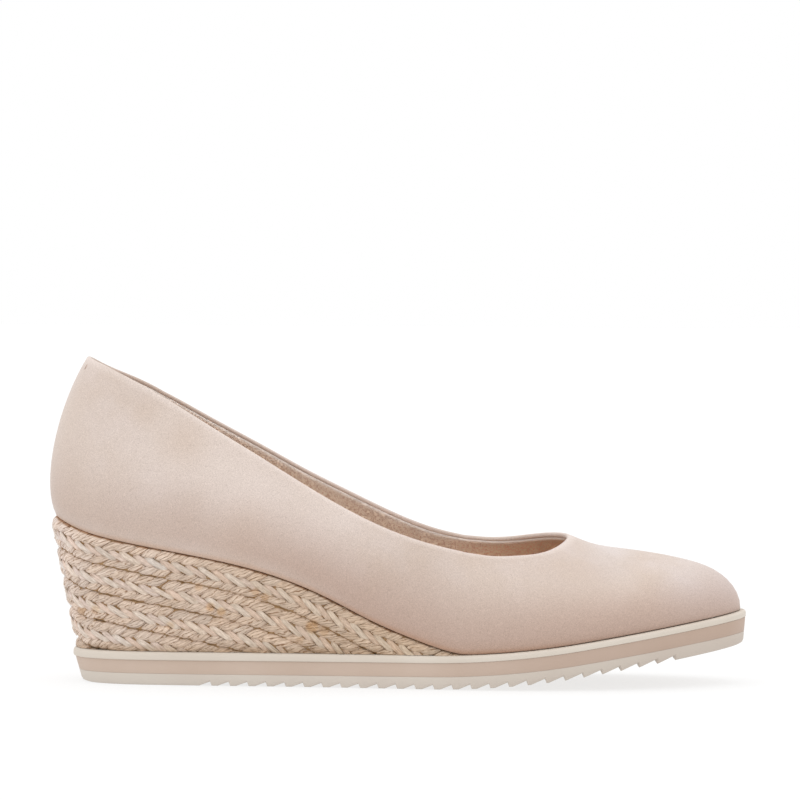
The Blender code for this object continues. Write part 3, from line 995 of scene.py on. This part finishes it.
def jute_finish():
    """Colour from each strand's own dye, fibres and plies along its own map in millimetres."""
    jute = Finish("jute", roughness=0.85, specular=0.2, sheen=0.1)
    strand = jute.add("ShaderNodeUVMap", uv_map="fibre").outputs["UV"]

    def stretched(lengthways, across):
        scale = (lengthways, across, 1.0)
        return jute.add("ShaderNodeMapping", {"Vector": strand, "Scale": scale}).outputs["Vector"]

    streak = stretched(lengthways=0.35, across=2.4)
    fibre = jute.crumbs(scale=1.0, detail=3.0, where=streak)
    hair = jute.crumbs(scale=1.0, where=stretched(lengthways=0.8, across=3.2))
    colour = jute.add("ShaderNodeAttribute", attribute_name="dye").outputs["Color"]
    colour = jute.mottle(colour, fibre, FIBRE_TINTS)
    colour = jute.mottle(colour, hair, HAIR_TINTS)

    # Broken, wandering lines between the plies.
    drift = stretched(lengthways=0.4, across=0.5)
    wander = jute.spots(scale=1.0, roughness=0.6, low=0.2, high=0.8, where=drift)
    place = jute.reckon("MULTIPLY_ADD", wander, PLY_WANDER, jute.part(strand, "Y"))
    swing = jute.reckon("PINGPONG", place, PLY_WIDTH)
    broken = jute.spots(scale=0.8, detail=1.0, low=0.3, high=0.6, where=streak)
    line = jute.times(jute.reach(swing, 0.0, PLY_LINE, 1.0, 0.0), jute.mark("ply"), broken)
    colour = jute.tint(colour, line, paint("ply_line"))

    # Painted shade where a strand goes down between its neighbours, and deeper still along the
    # first braid's rim under the upper.
    depth = jute.mark("depth")
    colour = jute.tint(colour, jute.reach(depth, 0.55, 1.7), paint("jute_painted_shade"))
    colour = jute.tint(colour, jute.reach(depth, 1.7, 2.7), paint("jute_painted_deep_shade"))

    # Painted light and shade along the jute: paler towards the heel, palest at the heel's end,
    # darker and warmer towards the front.
    colour = jute.mottle(colour, jute.lengthwise(-120.0, 20.0), HEEL_TO_TOE_LIGHT_TINTS)
    colour = jute.tint(colour, jute.lengthwise(-126.0, -106.0, 1.0, 0.0), HEEL_END_LIGHT_TINT)
    # Painted shade just above the welt, where the jute meets it, fading out towards the front.
    low = jute.upward(WELT_TOP, WELT_TOP + WELT_JOIN_SHADE_HEIGHT, 1.0, 0.0)
    welt_join_shade = jute.times(low, jute.lengthwise(-25.0, 5.0, 1.0, 0.0))
    colour = jute.tint(colour, welt_join_shade, WELT_JOIN_SHADE_TINT)

    view = jute.side_view()
    for x, z, radius, strength in JUTE_FLECKS:
        fleck = jute.near(view, x, z, FLECK_CORE * radius, radius, strength)
        colour = jute.tint(colour, fleck, FLECK_TINT)
    jute.raise_grain(jute.reckon("SUBTRACT", fibre, line), depth=0.2, strength=0.8)
    return jute.painted(colour)


# The braids' ground is dark as painted shade in the gaps between strands.
def ground_finish():
    jute = Finish("braid_ground", roughness=0.95, specular=0.1)
    fibre = jute.crumbs(scale=700.0, detail=3.0)
    jute.raise_grain(fibre, depth=0.2, strength=0.8)
    return jute.painted(jute.coat(fibre, "ground"))


def fibre_finish():
    hair = Finish("loose_fibre", roughness=0.8, specular=0.25)
    return hair.painted(hair.coat(hair.crumbs(scale=260.0), "fibre"))


def rubber_finish(name, roughness, toe_shade_tint):
    """Matt rubber, with painted shade towards the toe."""
    rubber = Finish(name, roughness, specular=0.35)
    colour = rubber.coat(rubber.spots(scale=38.0, detail=3.0), name)
    colour = rubber.tint(colour, rubber.lengthwise(-10.0, 75.0), toe_shade_tint)
    rubber.raise_grain(rubber.crumbs(scale=1500.0), depth=0.03, strength=0.5)
    return rubber.painted(colour)


def core_finish():
    core = Finish("wedge_core", roughness=0.95, specular=0.1)
    crumb = core.crumbs(scale=500.0, detail=3.0)
    core.raise_grain(crumb, depth=0.2, strength=0.8)
    return core.painted(core.coat(crumb, "core"))


def thread_finish():
    thread = Finish("thread", roughness=0.7)
    return thread.painted(thread.coat(thread.spots(scale=2500.0, detail=1.0), "thread"))


def floor_finish():
    """White acrylic sheet lit a little from below."""
    sheet = Finish("pale_floor", roughness=0.9, specular=0.1)
    sheet.shader.inputs["Emission Color"].default_value = (1.0, 1.0, 1.0, 1.0)
    sheet.shader.inputs["Emission Strength"].default_value = 0.7
    return sheet.painted(sheet.coat(sheet.spots(scale=1.5), "floor"))


# Upper and lining


wall = upper_lines()
wall_steps = np.linalg.norm(np.diff(wall, axis=1), axis=2)
wall_run = np.concatenate([np.zeros((len(wall), 1)), np.cumsum(wall_steps, axis=1)], axis=1)
wall_length = wall_run[:, -1]


def at_wall(distance):
    """Points of all wall lines at a distance each above the feather line."""
    found = np.empty((len(wall), 3))
    for i, d in enumerate(distance):
        for axis in range(3):
            found[i, axis] = np.interp(d, wall_run[i], wall[i, :, axis])
    return found


def frame_wall(distance):
    """Points of the wall lines with the directions out of the wall and up along it."""
    spot = at_wall(distance)
    above = at_wall(np.minimum(distance + WALL_REACH, wall_length))
    up = above - at_wall(np.maximum(distance - WALL_REACH, 0.0))
    up = up / np.linalg.norm(up, axis=1, keepdims=True)
    round_about = np.roll(spot, -1, axis=0) - np.roll(spot, 1, axis=0)
    out = np.cross(round_about, up)
    out = out / np.linalg.norm(out, axis=1, keepdims=True)
    return spot, out, up


def wall_row(distance, deep):
    """Points of the wall lines, so deep inside the wall."""
    spot, out, _ = frame_wall(distance)
    return spot - out * deep


def build_upper():
    """Nubuck wall, folded over at the topline and turned under at the feather line."""
    rows = []
    marks = {"rise": [], "facing": [], "fold_highlight": []}
    low = LASTED_RADIUS - LASTED_DROP
    fold_start = wall_length - FOLD_RADIUS
    high = fold_start - low

    def put(points, rise, facing=0.0, fold_highlight=0.0):
        rows.append(points)
        marks["rise"].append(np.broadcast_to(rise, (len(wall),)))
        marks["facing"].append(np.full(len(wall), facing))
        marks["fold_highlight"].append(np.full(len(wall), fold_highlight))

    # The top wall row and the rows over the fold carry the strength of the fold's painted
    # highlight.
    for k in range(UPPER_ROWS + 1):
        d = low + high * k / UPPER_ROWS
        put(wall_row(d, 0.0), d, fold_highlight=FOLD_START_HIGHLIGHT if k == UPPER_ROWS else 0.0)
    spot, out, up = frame_wall(fold_start)
    middle = spot - out * FOLD_RADIUS
    for k in range(1, FOLD_STEPS):
        a = math.pi * k / FOLD_STEPS
        points = middle + (out * math.cos(a) + up * math.sin(a)) * FOLD_RADIUS
        inside = max(0.0, 2 * k / FOLD_STEPS - 1.0)
        put(points, wall_length, inside, max(0.0, FOLD_HIGHLIGHT - FOLD_HIGHLIGHT_FADE * k))
    put(wall_row(fold_start, 2 * FOLD_RADIUS), wall_length, 1.0)
    put(wall_row(wall_length - FACING, 2 * FOLD_RADIUS), wall_length, 1.0)
    put(wall_row(wall_length - FACING - FACING_STEP, NUBUCK_THICK), wall_length, 1.0)
    for share in reversed(QUARTERS):
        put(wall_row(low + high * share, NUBUCK_THICK), 0.0)
    spot, out, up = frame_wall(np.full(len(wall), low))
    put(spot - out * NUBUCK_THICK, 0.0)
    middle = spot - out * LASTED_RADIUS
    for degrees in LASTED_TURN:
        a = math.radians(degrees)
        put(middle + (out * math.cos(a) - up * math.sin(a)) * LASTED_RADIUS, 0.0)
    return skin("upper_nubuck", rows, loop=True, marks=marks)


def build_back_stitch():
    """One stitch over the back edge of the topline, half sunk in the nubuck."""
    spot, out, up = frame_wall(wall_length - BACK_STITCH["down"])
    outer = np.where(spot[:, 1] < 0.0, np.abs(spot[:, 0] - BACK_STITCH["x"]), np.inf)
    i = int(np.argmin(outer))
    obj, points = ball(segments=12, rings=12)
    obj.name = "back_stitch"
    x, y, z = points.T
    full = np.sqrt(np.clip(1.0 - np.abs(z) ** BACK_STITCH["blunt"], 0.0, 1.0))
    thick = full / np.maximum(np.hypot(x, y), MERGE) * BACK_STITCH["thick"] / 2
    placed = (
        spot[i]
        + np.outer(z * BACK_STITCH["length"] / 2, up[i])
        + np.outer(x * thick, np.cross(up[i], out[i]))
        + np.outer(y * thick, out[i])
    )
    obj.data.vertices.foreach_set("co", (placed * MM).ravel())
    bpy.ops.object.shade_smooth()
    return obj


def build_lining():
    """Fleecy lining with a soft bead along its upper edge."""
    edge = wall_length - FACING
    rows = []
    painted_rim = []

    def put(points, light=0.0):
        rows.append(points)
        painted_rim.append(np.full(len(wall), light))

    # Each bead row carries the strength of the painted highlight along the bead's top.
    for drop, deep, light in LINING_BEAD:
        put(wall_row(edge - drop, deep), light)
    for k in range(LINING_ROWS + 1):
        share = k / LINING_ROWS
        put(wall_row((edge - LINING_START) * (1.0 - share) + LINING_FOOT * share, LINING_DEEP))
    for share in (0.0, 0.33, 0.66):
        d = LINING_FOOT * (1.0 - share) + (edge - LINING_BACK_START) * share
        put(wall_row(d, LINING_BACK_DEEP))
    return skin("lining", rows, loop=True, marks={"painted_rim": painted_rim})


# Jute braids


def flat_width(u):
    """Width of a braid across its own run, larger round the heel's back."""
    back = max(0.0, 1.0 - u / turn(BRAID_BACK_X))
    return BRAID_WIDTH + (BRAID_WIDTH_BACK - BRAID_WIDTH) * back


def braid_width(u):
    """Upright width of a braid, which follows the slope of the feather line."""
    a = beside(u - SLOPE_STEP, -1, 0.0, feather_z(abs(u - SLOPE_STEP)))
    b = beside(u + SLOPE_STEP, -1, 0.0, feather_z(u + SLOPE_STEP))
    slope = (b.z - a.z) / math.hypot(b.x - a.x, b.y - a.y)
    return flat_width(u) * math.sqrt(1.0 + slope * slope)


class BraidPath:
    """Middle line of a braid from the inner side round the heel to the outer side."""

    def __init__(self, index):
        end = 0.0
        lowest = WELT_TOP - BRAID_SUNK
        while feather_z(end) - GAP - index * braid_width(end) > lowest and along(end) < BRAID_END_X:
            end += BRAID_END_STEP
        us = np.linspace(0.0, end, BRAID_STATIONS)
        middle = {}
        lean = {}
        for side in (-1, 1):
            points = []
            above = []
            for u in us:
                z = feather_z(u) - GAP - (index + 0.5) * braid_width(u)
                points.append(beside(u, side, wall_out(u, z), z))
                higher = z + BRAID_LEAN_STEP
                above.append(beside(u, side, wall_out(u, higher), higher))
            middle[side] = np.array(points)
            lean[side] = np.array(above) - middle[side]
        self.rim_depth = RIM_DEPTH if index == 0 else 0.0
        self.spot = np.concatenate([middle[1][:0:-1], middle[-1]])
        lift = np.concatenate([lean[1][:0:-1], lean[-1]])
        widths = [flat_width(u) - GAP for u in us]
        self.width = np.array(widths[:0:-1] + widths)
        steps = np.linalg.norm(np.diff(self.spot, axis=0), axis=1)
        self.run = np.concatenate([[0.0], np.cumsum(steps)])
        self.length = self.run[-1]
        ahead = np.gradient(self.spot, self.run, axis=0)
        self.ahead = ahead / np.linalg.norm(ahead, axis=1, keepdims=True)
        out = np.cross(self.ahead, lift)
        self.out = out / np.linalg.norm(out, axis=1, keepdims=True)
        self.up = np.cross(self.out, self.ahead)

    def place(self, s, t, n):
        """Points at a run along the braid, a share of its width from the top, and a height."""
        def read(values):
            return np.stack([np.interp(s, self.run, values[:, k]) for k in range(3)], axis=-1)

        past = s - np.clip(s, 0.0, self.length)
        across = (0.5 - t) * np.interp(s, self.run, self.width)
        shares, depths = zip(*BRAID_SECTION)
        over = np.maximum(np.maximum(-t, t - 1.0), 0.0)
        height = n - np.interp(t, shares, depths) - over * BRAID_EDGE_DROP
        height = height - self.rim_depth * np.clip(1.0 - t / RIM_SHARE, 0.0, RIM_BEND) ** 2
        spot = read(self.spot) + read(self.ahead) * past[..., None]
        return spot + read(self.up) * across[..., None] + read(self.out) * height[..., None]


def strand_pattern():
    """One strand: a ball whose poles are the strand's ends."""
    obj, points = ball(segments=14, rings=10)
    mesh = obj.data
    uv = np.empty(len(mesh.loops) * 2)
    mesh.uv_layers[0].data.foreach_get("uv", uv)
    faces = [tuple(p.vertices) for p in mesh.polygons]
    bpy.data.objects.remove(obj, do_unlink=True)
    bpy.data.meshes.remove(mesh)
    return points, faces, uv.reshape(-1, 2)


def flattened(wave, power):
    """Round section drawn out towards a box."""
    return np.sign(wave) * np.abs(wave) ** power


class Plait:
    """Strands of one braid, gathered into a single mesh."""

    def __init__(self, index, pattern):
        self.chance = np.random.default_rng(STRAND_SEED + index)
        self.path = BraidPath(index)
        points, self.faces, self.map = pattern
        x, y, self.tall = points.T
        self.angle = np.arctan2(y, x)
        self.pole = np.hypot(x, y) < 1e-5
        self.points = []
        self.dyes = []
        self.depths = []
        self.plies = []
        self.fibres = []

    def full(self, bluntness):
        """Share of the full thickness along a strand."""
        share = np.sqrt(np.clip(1.0 - np.abs(self.tall) ** bluntness, 0.0, 1.0))
        return np.where(self.pole, 0.0, share)

    def tuck(self, depth, sharpness):
        """How far a strand goes down towards its ends."""
        return depth * np.abs(self.tall) ** sharpness

    def put(self, s, across, n, dye, ply, length, girth, turned):
        """Adds a strand with its dye, its depth for the painted shade, its plies and its map."""
        share = across / (BRAID_WIDTH - GAP)
        self.points.append(self.path.place(s, share, n - STRAND_SINK))
        self.dyes.append(np.tile(dye, (len(self.tall), 1)))
        # Painted shadow along the first braid's rim under the upper, fading out at the braid's
        # ends.
        shade = RIM_SHADE * self.chance.uniform(*RIM_SHADE_SPREAD)
        painted_rim = np.clip(1.0 - share / shade, 0.0, 1.0) if self.path.rim_depth else 0.0
        painted_rim = painted_rim * np.clip(np.minimum(s, self.path.length - s) / RIM_FADE, 0.0, 1.0)
        self.depths.append(np.maximum(0.0, -n) + RIM_SHADE_DEPTH * painted_rim)
        self.plies.append(np.full(len(self.tall), ply))
        run = (self.map[:, 1] - 0.5) * length
        girdle = self.map[:, 0] * girth
        a = math.radians(turned)
        shift = self.chance.uniform(0.0, MAP_SHIFT, 2)
        along_fibre = run * math.cos(a) - girdle * math.sin(a) + shift[0]
        across_fibre = girdle * math.cos(a) + run * math.sin(a) + shift[1]
        self.fibres.append(np.stack([along_fibre, across_fibre], axis=1))

    def float_strand(self, start, first, last, lean, thick):
        """Twisted cord lying askew across its column, ends tucked in."""
        chance = self.chance
        first = first + chance.normal(0.0, END_SPREAD)
        last = last + chance.normal(0.0, END_SPREAD)
        half = (last - first) / 2
        slope = 1.0 / math.tan(math.radians(lean + chance.normal(0.0, LEAN_SPREAD)))
        plump = 1.0 + chance.normal(0.0, PLUMP_SPREAD)
        full = self.full(FLOAT_BLUNT)
        side = FLOAT_WIDTH / 2 * plump * full * np.cos(self.angle)
        s = start + self.tall * half * slope + side
        across = (first + last) / 2 - self.tall * half + FLOAT_SKEW * side / STRAND_PITCH
        n = thick / 2 * (full * flattened(np.sin(self.angle), FLOAT_FLATNESS) - 1.0)
        n = n - self.tuck(*FLOAT_TUCK) + chance.normal(0.0, HEIGHT_SPREAD)
        length = 2 * half * math.hypot(1.0, slope)
        self.put(s, across, n, float_dye(chance), 1.0, length, FLOAT_GIRTH, PLY_TURN)

    def ribbon_strand(self, start, ivory):
        """Flat ribbon between the floats, its ends drawn under them."""
        chance = self.chance
        a = math.radians(RIBBON_LEAN + chance.normal(0.0, RIBBON_LEAN_SPREAD))
        full = self.full(RIBBON_BLUNT)
        length = RIBBON_LENGTH * (1.0 + chance.normal(0.0, RIBBON_LENGTH_SPREAD))
        width = RIBBON_WIDTH * (1.0 + chance.normal(0.0, PLUMP_SPREAD))
        run = self.tall * length / 2
        edge = width / 2 * full * flattened(np.cos(self.angle), RIBBON_EDGE)
        n = RIBBON_THICK / 2 * (full * flattened(np.sin(self.angle), RIBBON_FLATNESS) - 1.0)
        n = n - self.tuck(*RIBBON_TUCK) + (RIBBON_STEP if ivory else -RIBBON_STEP)
        s = start + run * math.cos(a) - edge * math.sin(a)
        across = RIBBON_ACROSS - run * math.sin(a) - edge * math.cos(a)
        self.put(s, across, n, ribbon_dye(ivory, chance), 0.0, RIBBON_LENGTH, RIBBON_GIRTH, 0.0)

    def gathered(self, name):
        """The strands as one piece, with what their finish reads."""
        base = len(self.tall)
        copies = range(len(self.points))
        faces = [tuple(i + k * base for i in face) for k in copies for face in self.faces]
        obj = bundle(name, np.concatenate(self.points), faces)
        mesh = obj.data
        fibre_map = mesh.uv_layers.new(name="fibre")
        fibre_map.data.foreach_set("uv", np.concatenate(self.fibres).ravel())
        dye = mesh.attributes.new("dye", "FLOAT_COLOR", "POINT")
        dye.data.foreach_set("color", np.concatenate(self.dyes).ravel())
        for key, values in (("depth", self.depths), ("ply", self.plies)):
            layer = mesh.attributes.new(key, "FLOAT", "POINT")
            layer.data.foreach_set("value", np.concatenate(values))
        return obj


def strayed(name, chance, shade_spread, warm_spread):
    """Tone of a strand, a little lighter or darker and warmer or cooler than its dye."""
    shade = chance.normal(0.0, shade_spread)
    warm = chance.normal(0.0, warm_spread)
    changes = (shade + warm, shade, shade - warm)
    return tone(*(min(limit, c + d) for limit, c, d in zip(DYE_LIMITS, TONES[name], changes)))


def float_dye(chance):
    """Natural jute, now and then a tan strand."""
    name = "tan_float" if chance.random() < TAN_SHARE else "natural_float"
    return strayed(name, chance, *FLOAT_DYE_SPREAD)


def ribbon_dye(ivory, chance):
    return strayed("ivory_ribbon" if ivory else "pink_ribbon", chance, *RIBBON_DYE_SPREAD)


def cut_level(obj):
    """Cuts a braid off just above the welt."""
    take(obj)
    bpy.ops.object.mode_set(mode="EDIT")
    bpy.ops.mesh.select_all(action="SELECT")
    bpy.ops.mesh.normals_make_consistent(inside=False)
    bpy.ops.mesh.bisect(
        plane_co=(0.0, 0.0, (WELT_TOP + CUT_ABOVE_WELT) * MM),
        plane_no=(0.0, 0.0, 1.0),
        use_fill=True,
        clear_inner=True,
    )
    bpy.ops.object.mode_set(mode="OBJECT")
    bpy.ops.object.shade_smooth()
    return obj


def build_braid(index, pattern):
    """Plait of twisted floats and flat ribbons, ivory and pink by turns."""
    plait = Plait(index, pattern)
    for number in range(-1, int(plait.path.length / STRAND_PITCH) + 3):
        start = number * STRAND_PITCH
        for first, last, lean, thick in FLOATS.values():
            stray = plait.chance.normal(0.0, FLOAT_STRAY)
            plait.float_strand(start + stray, first, last, lean, thick)
        stray = plait.chance.normal(0.0, RIBBON_STRAY)
        plait.ribbon_strand(start + STRAND_PITCH / 2 + stray, number % 2)
    return cut_level(plait.gathered("braid_%d" % (index + 1)))


def build_fibres(index):
    """Loose fibres that stand off a braid."""
    chance = np.random.default_rng(FIBRE_SEED + index)
    path = BraidPath(index)
    count = int(path.length * FIBRES_A_MM)
    start = chance.uniform(0.0, path.length, count)
    across = chance.uniform(*FIBRE_ACROSS, count)
    with_floats = chance.random(count) < FIBRE_FLOAT_SHARE
    float_lean = chance.normal(*FIBRE_FLOAT_LEAN, count)
    ribbon_lean = chance.normal(*FIBRE_RIBBON_LEAN, count)
    lean = np.radians(np.where(with_floats, float_lean, ribbon_lean))
    length = chance.uniform(*FIBRE_LENGTH, count)
    curl = chance.normal(0.0, FIBRE_CURL, count)
    lift = chance.uniform(0.0, FIBRE_LIFT, count)

    # Each fibre: triangles from its sunk root over its crest to its thin end.
    steps = np.linspace(0.0, 1.0, 5)
    angles = np.arange(3) * 2 * math.pi / 3
    points = []
    for step in steps:
        turned = lean + curl * (step - 0.5)
        s = start + length * (step - 0.5) * np.cos(turned)
        a = across - length * (step - 0.5) * np.sin(turned)
        crest = math.sin(math.pi * min(1.0, FIBRE_RISE + (1.0 - FIBRE_RISE) * step))
        n = FIBRE_HEIGHT + lift * crest - FIBRE_ROOT * (1.0 - step)
        thin = FIBRE_THICK / 2 * (1.0 - FIBRE_THINNING * step)
        for angle in angles:
            share = (a + thin * math.cos(angle)) / (BRAID_WIDTH - GAP)
            points.append(path.place(s, share, n + thin * math.sin(angle)))
    ring = len(angles)
    faces = []
    for base in range(0, count * len(points), len(points)):
        last = base + (len(steps) - 1) * ring
        for low in range(base, last, ring):
            for i in range(ring):
                j = (i + 1) % ring
                faces.append((low + i, low + j, low + ring + j, low + ring + i))
        faces.append((base, base + 2, base + 1))
        faces.append((last, last + 1, last + 2))
    spots = np.stack(points, axis=1).reshape(-1, 3)
    return cut_level(bundle("braid_fibres_%d" % (index + 1), spots, faces))


def build_ground(index):
    """Band that the strands of a braid are laid on; its dark colour is painted shade in the gaps
    between them.
    """
    path = BraidPath(index)
    s = np.linspace(0.0, path.length, BRAID_STATIONS)
    rows = [path.place(s, np.full(len(s), t), np.full(len(s), n)) for t, n in GROUND_SECTION]
    return cut_level(skin("braid_ground_%d" % (index + 1), rows, ring=False, loop=True))


# Sole and footbed


def stations(heel_count, toe_count):
    """Angles all along the shoe, closer together round the heel and the toe."""
    middle = spaced(HEEL_BEND_X, TOE_BEND_X, STATION_SPACING)
    return heel_turn(HEEL_BEND_X, heel_count) + middle + toe_turn(TOE_BEND_X, toe_count)


def band_in(u):
    """Setback of the band from the welt's edge."""
    share = (along(u) - HEEL_X) / (TOE_X - HEEL_X)
    return BAND_SETBACK_HEEL + (BAND_SETBACK_TOE - BAND_SETBACK_HEEL) * share


def sole_point(u, side, inset, z):
    """Point of a sole layer, inset from the band's drafted face."""
    draft = sole_draft(u) * (BAND_TOP - min(z, BAND_TOP))
    return on_sole(u, side, sole_edge(u) - band_in(u) - inset - draft, z)


def rounded(z, radius, way):
    """Insets and heights of a layer's round; way is 1 at a lower and -1 at an upper edge."""
    middle = ROUND_MIDDLE * radius
    return [(radius, z), (middle, z + way * middle), (0.0, z + way * radius)]


def across_sole(us, edge, middles, lifts):
    """Rows along the sole: the points of one side, strips across, then the other side."""
    def row(side, inset, z, lift):
        return [sole_point(u, side, inset, z + lift * lifts.get(u, 0.0)) for u in us]

    rows = [row(-1, *spot) for spot in edge]
    rows += [between(row(-1, *edge[-1]), row(1, *edge[-1]), share) for share in middles]
    rows += [row(1, *spot) for spot in reversed(edge)]
    rows += [between(row(1, *edge[0]), row(-1, *edge[0]), share) for share in QUARTERS]
    return rows


def build_outsole():
    """Rubber sole with saw teeth across its bottom."""
    tread = {}
    longest = TOOTH_PITCH - TOOTH_FACE - TOOTH_LAND
    for k in range(TOOTH_COUNT):
        apex = TOOTH_FIRST + TOOTH_PITCH * k
        share = min(1.0, spring(apex) / SPRING_FULL_RAMP)
        ramp = TOOTH_RAMP + (longest - TOOTH_RAMP) * share
        tread[apex - ramp] = 0.0
        tread[apex] = TOOTH_DEPTH
        tread[apex + TOOTH_FACE] = 0.0
    xs = sorted(tread)
    lifts = {turn(x): tread[x] for x in xs}
    us = heel_turn(HEEL_BEND_X, count=22) + spaced(HEEL_BEND_X, xs[0], step=3.0)[:-1]
    us = us + list(lifts) + toe_turn(xs[-1], count=26)
    edge = [(*spot, 0.0) for spot in rounded(OUTSOLE_TOP, LAYER_ROUND, -1)]
    low_edge = reversed(rounded(0.0, SOLE_CORNER, 1))
    edge += [(*spot, lift) for spot, lift in zip(low_edge, TOOTH_LIFTS)]
    rows = across_sole(us, edge, middles=(0.1, 0.3, 0.5, 0.7, 0.9), lifts=lifts)
    obj = skin("outsole", rows, ring=False, loop=True)
    keep_edges(obj, degrees=24.0)
    return obj


def build_band():
    """Smooth layer between the outsole and the welt, with the plateau that the welt lies round."""
    plateau = WELT_WIDTH + GAP - BAND_SETBACK_TOE
    edge = [(plateau, WELT_TOP), (plateau, BAND_TOP)]
    edge += rounded(BAND_TOP, LAYER_ROUND, -1)
    edge += reversed(rounded(BAND_BOTTOM, LAYER_ROUND, 1))
    edge = [(*spot, 0.0) for spot in edge]
    us = stations(heel_count=24, toe_count=30)
    rows = across_sole(us, edge, middles=QUARTERS, lifts={})
    obj = skin("midsole_band", rows, ring=False, loop=True)
    keep_edges(obj, degrees=50.0)
    return obj


def build_welt():
    """Rounded bead all round the platform."""
    us = stations(heel_count=24, toe_count=30)
    profile = [(WELT_WIDTH, WELT_BOTTOM), (WELT_SHELF, WELT_BOTTOM)]
    rounds = (
        (WELT_ROUND_LOW, WELT_BOTTOM + WELT_ROUND_LOW, -90),
        (WELT_ROUND, WELT_TOP - WELT_ROUND, 0),
    )
    for radius, middle, first in rounds:
        for k in range(ROUND_STEPS + 1):
            a = math.radians(first + 90 * k / ROUND_STEPS)
            profile.append((radius * (1.0 - math.cos(a)), middle + radius * math.sin(a)))
    profile += [(WELT_SHELF, WELT_TOP), (WELT_WIDTH, WELT_TOP)]
    rows = []
    for inset, z in profile:
        outer = [on_sole(u, -1, sole_edge(u) - inset, z) for u in us]
        inner = [on_sole(u, 1, sole_edge(u) - inset, z) for u in us]
        rows.append(outer + inner[-2:0:-1])
    obj = skin("welt_bead", rows, loop=True)
    keep_edges(obj, degrees=40.0)
    return obj


def build_footbed():
    """Padded footbed, dished in its middle."""
    us = stations(heel_count=20, toe_count=20)

    def row(side, inset, z):
        return [beside(u, side, -inset, feather_z(u) + z) for u in us]

    outer = [row(-1, *spot) for spot in FOOTBED_EDGE]
    inner = [row(1, *spot) for spot in FOOTBED_EDGE]
    strips = []
    for k in range(1, FOOTBED_STRIPS):
        share = k / FOOTBED_STRIPS
        dish = Vector((0.0, 0.0, FOOTBED_DISH * math.sin(math.pi * share)))
        strips.append([p - dish for p in between(outer[-1], inner[-1], share)])
    below = [between(inner[0], outer[0], share) for share in QUARTERS]
    return skin("footbed", outer + strips + inner[::-1] + below, ring=False, loop=True)


# The shoe


fit(build_upper(), nubuck_finish(), "nubuck", "upper")
fit(build_lining(), lining_finish(), "footbed")
fit(build_back_stitch(), thread_finish(), "nubuck")
fit(build_footbed(), footbed_finish(), "footbed", "insole")
fit(build_welt(), rubber_finish("welt_rubber", 0.55, PLAIN_TINT), "welt_rubber", "welt")
fit(build_band(), rubber_finish("band_rubber", 0.55, BAND_TOE_SHADE_TINT), "band_rubber", "midsole")
fit(build_outsole(), rubber_finish("sole_rubber", 0.6, SOLE_TOE_SHADE_TINT), "sole_rubber", "outsole")

core = core_finish()
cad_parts["wedge"].data.materials.clear()
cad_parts["wedge"].data.materials.append(core)

jute = jute_finish()
ground = ground_finish()
fibre = fibre_finish()
pattern = strand_pattern()
for index in range(BRAID_COUNT):
    fit(build_braid(index, pattern), jute, "jute", "jute_braid_%d" % (index + 1))
    fit(build_ground(index), ground, "jute")
    fit(build_fibres(index), fibre, "jute")


# Studio


FLOOR_SIZE = 60.0
FLOOR_DROP = 0.05
SHOT_DISTANCE = 1.6
SHOT_TILT = math.radians(3.0)
SHOT_ROLL = math.radians(0.37)
PICTURE_SIDE = 800.0
PIXEL = 0.0003591
SENSOR = 36.0

bpy.ops.object.select_all(action="DESELECT")
bpy.ops.mesh.primitive_plane_add(size=FLOOR_SIZE, location=(0.0, 0.0, 0.0))
floor = bpy.context.object
floor.name = "studio_floor"
for corner in floor.data.vertices:
    corner.co.z = -FLOOR_DROP * MM
floor.data.materials.append(floor_finish())

scene = bpy.context.scene
scene.view_settings.view_transform = "Standard"
scene.view_settings.look = "None"

# White all round, a little stronger from above and below than from the sides.
world = bpy.data.worlds.new("studio")
scene.world = world
world.use_nodes = True
sky = world.node_tree.nodes["Background"]
sky.inputs["Color"].default_value = (1.0, 1.0, 1.0, 1.0)
light = Nodes(world.node_tree)
sight = light.add("ShaderNodeTexCoord").outputs["Generated"]
height = light.reckon("ABSOLUTE", light.part(sight, "Z"))
world.node_tree.links.new(light.reach(height, 0.08, 0.4, 1.0, 1.18), sky.inputs["Strength"])

lamp = bpy.data.lights.new("soft_top", "SUN")
lamp.energy = 0.4
lamp.angle = math.radians(60.0)
soft_top = bpy.data.objects.new("soft_top", lamp)
scene.collection.objects.link(soft_top)
soft_top.rotation_euler = Vector((0.1, 0.0, -1.0)).to_track_quat("-Z", "Y").to_euler()

middle = Vector((0.0006, 0.0, 0.05))
aim = Vector((0.0006, 0.0, 0.1009))
back = SHOT_DISTANCE * math.cos(SHOT_TILT)
up = SHOT_DISTANCE * math.sin(SHOT_TILT)
eye = middle + Vector((0.0, -back, up))
camera = bpy.data.cameras.new("photo_camera")
camera.sensor_width = SENSOR
camera.lens = SENSOR * (SHOT_DISTANCE / PIXEL) / PICTURE_SIDE
camera.clip_end = 200.0
shot = bpy.data.objects.new("photo_camera", camera)
scene.collection.objects.link(shot)
look_at = (aim - eye).to_track_quat("-Z", "Y").to_matrix().to_4x4()
shot.matrix_world = Matrix.Translation(eye) @ look_at @ Matrix.Rotation(SHOT_ROLL, 4, "Z")
scene.camera = shot
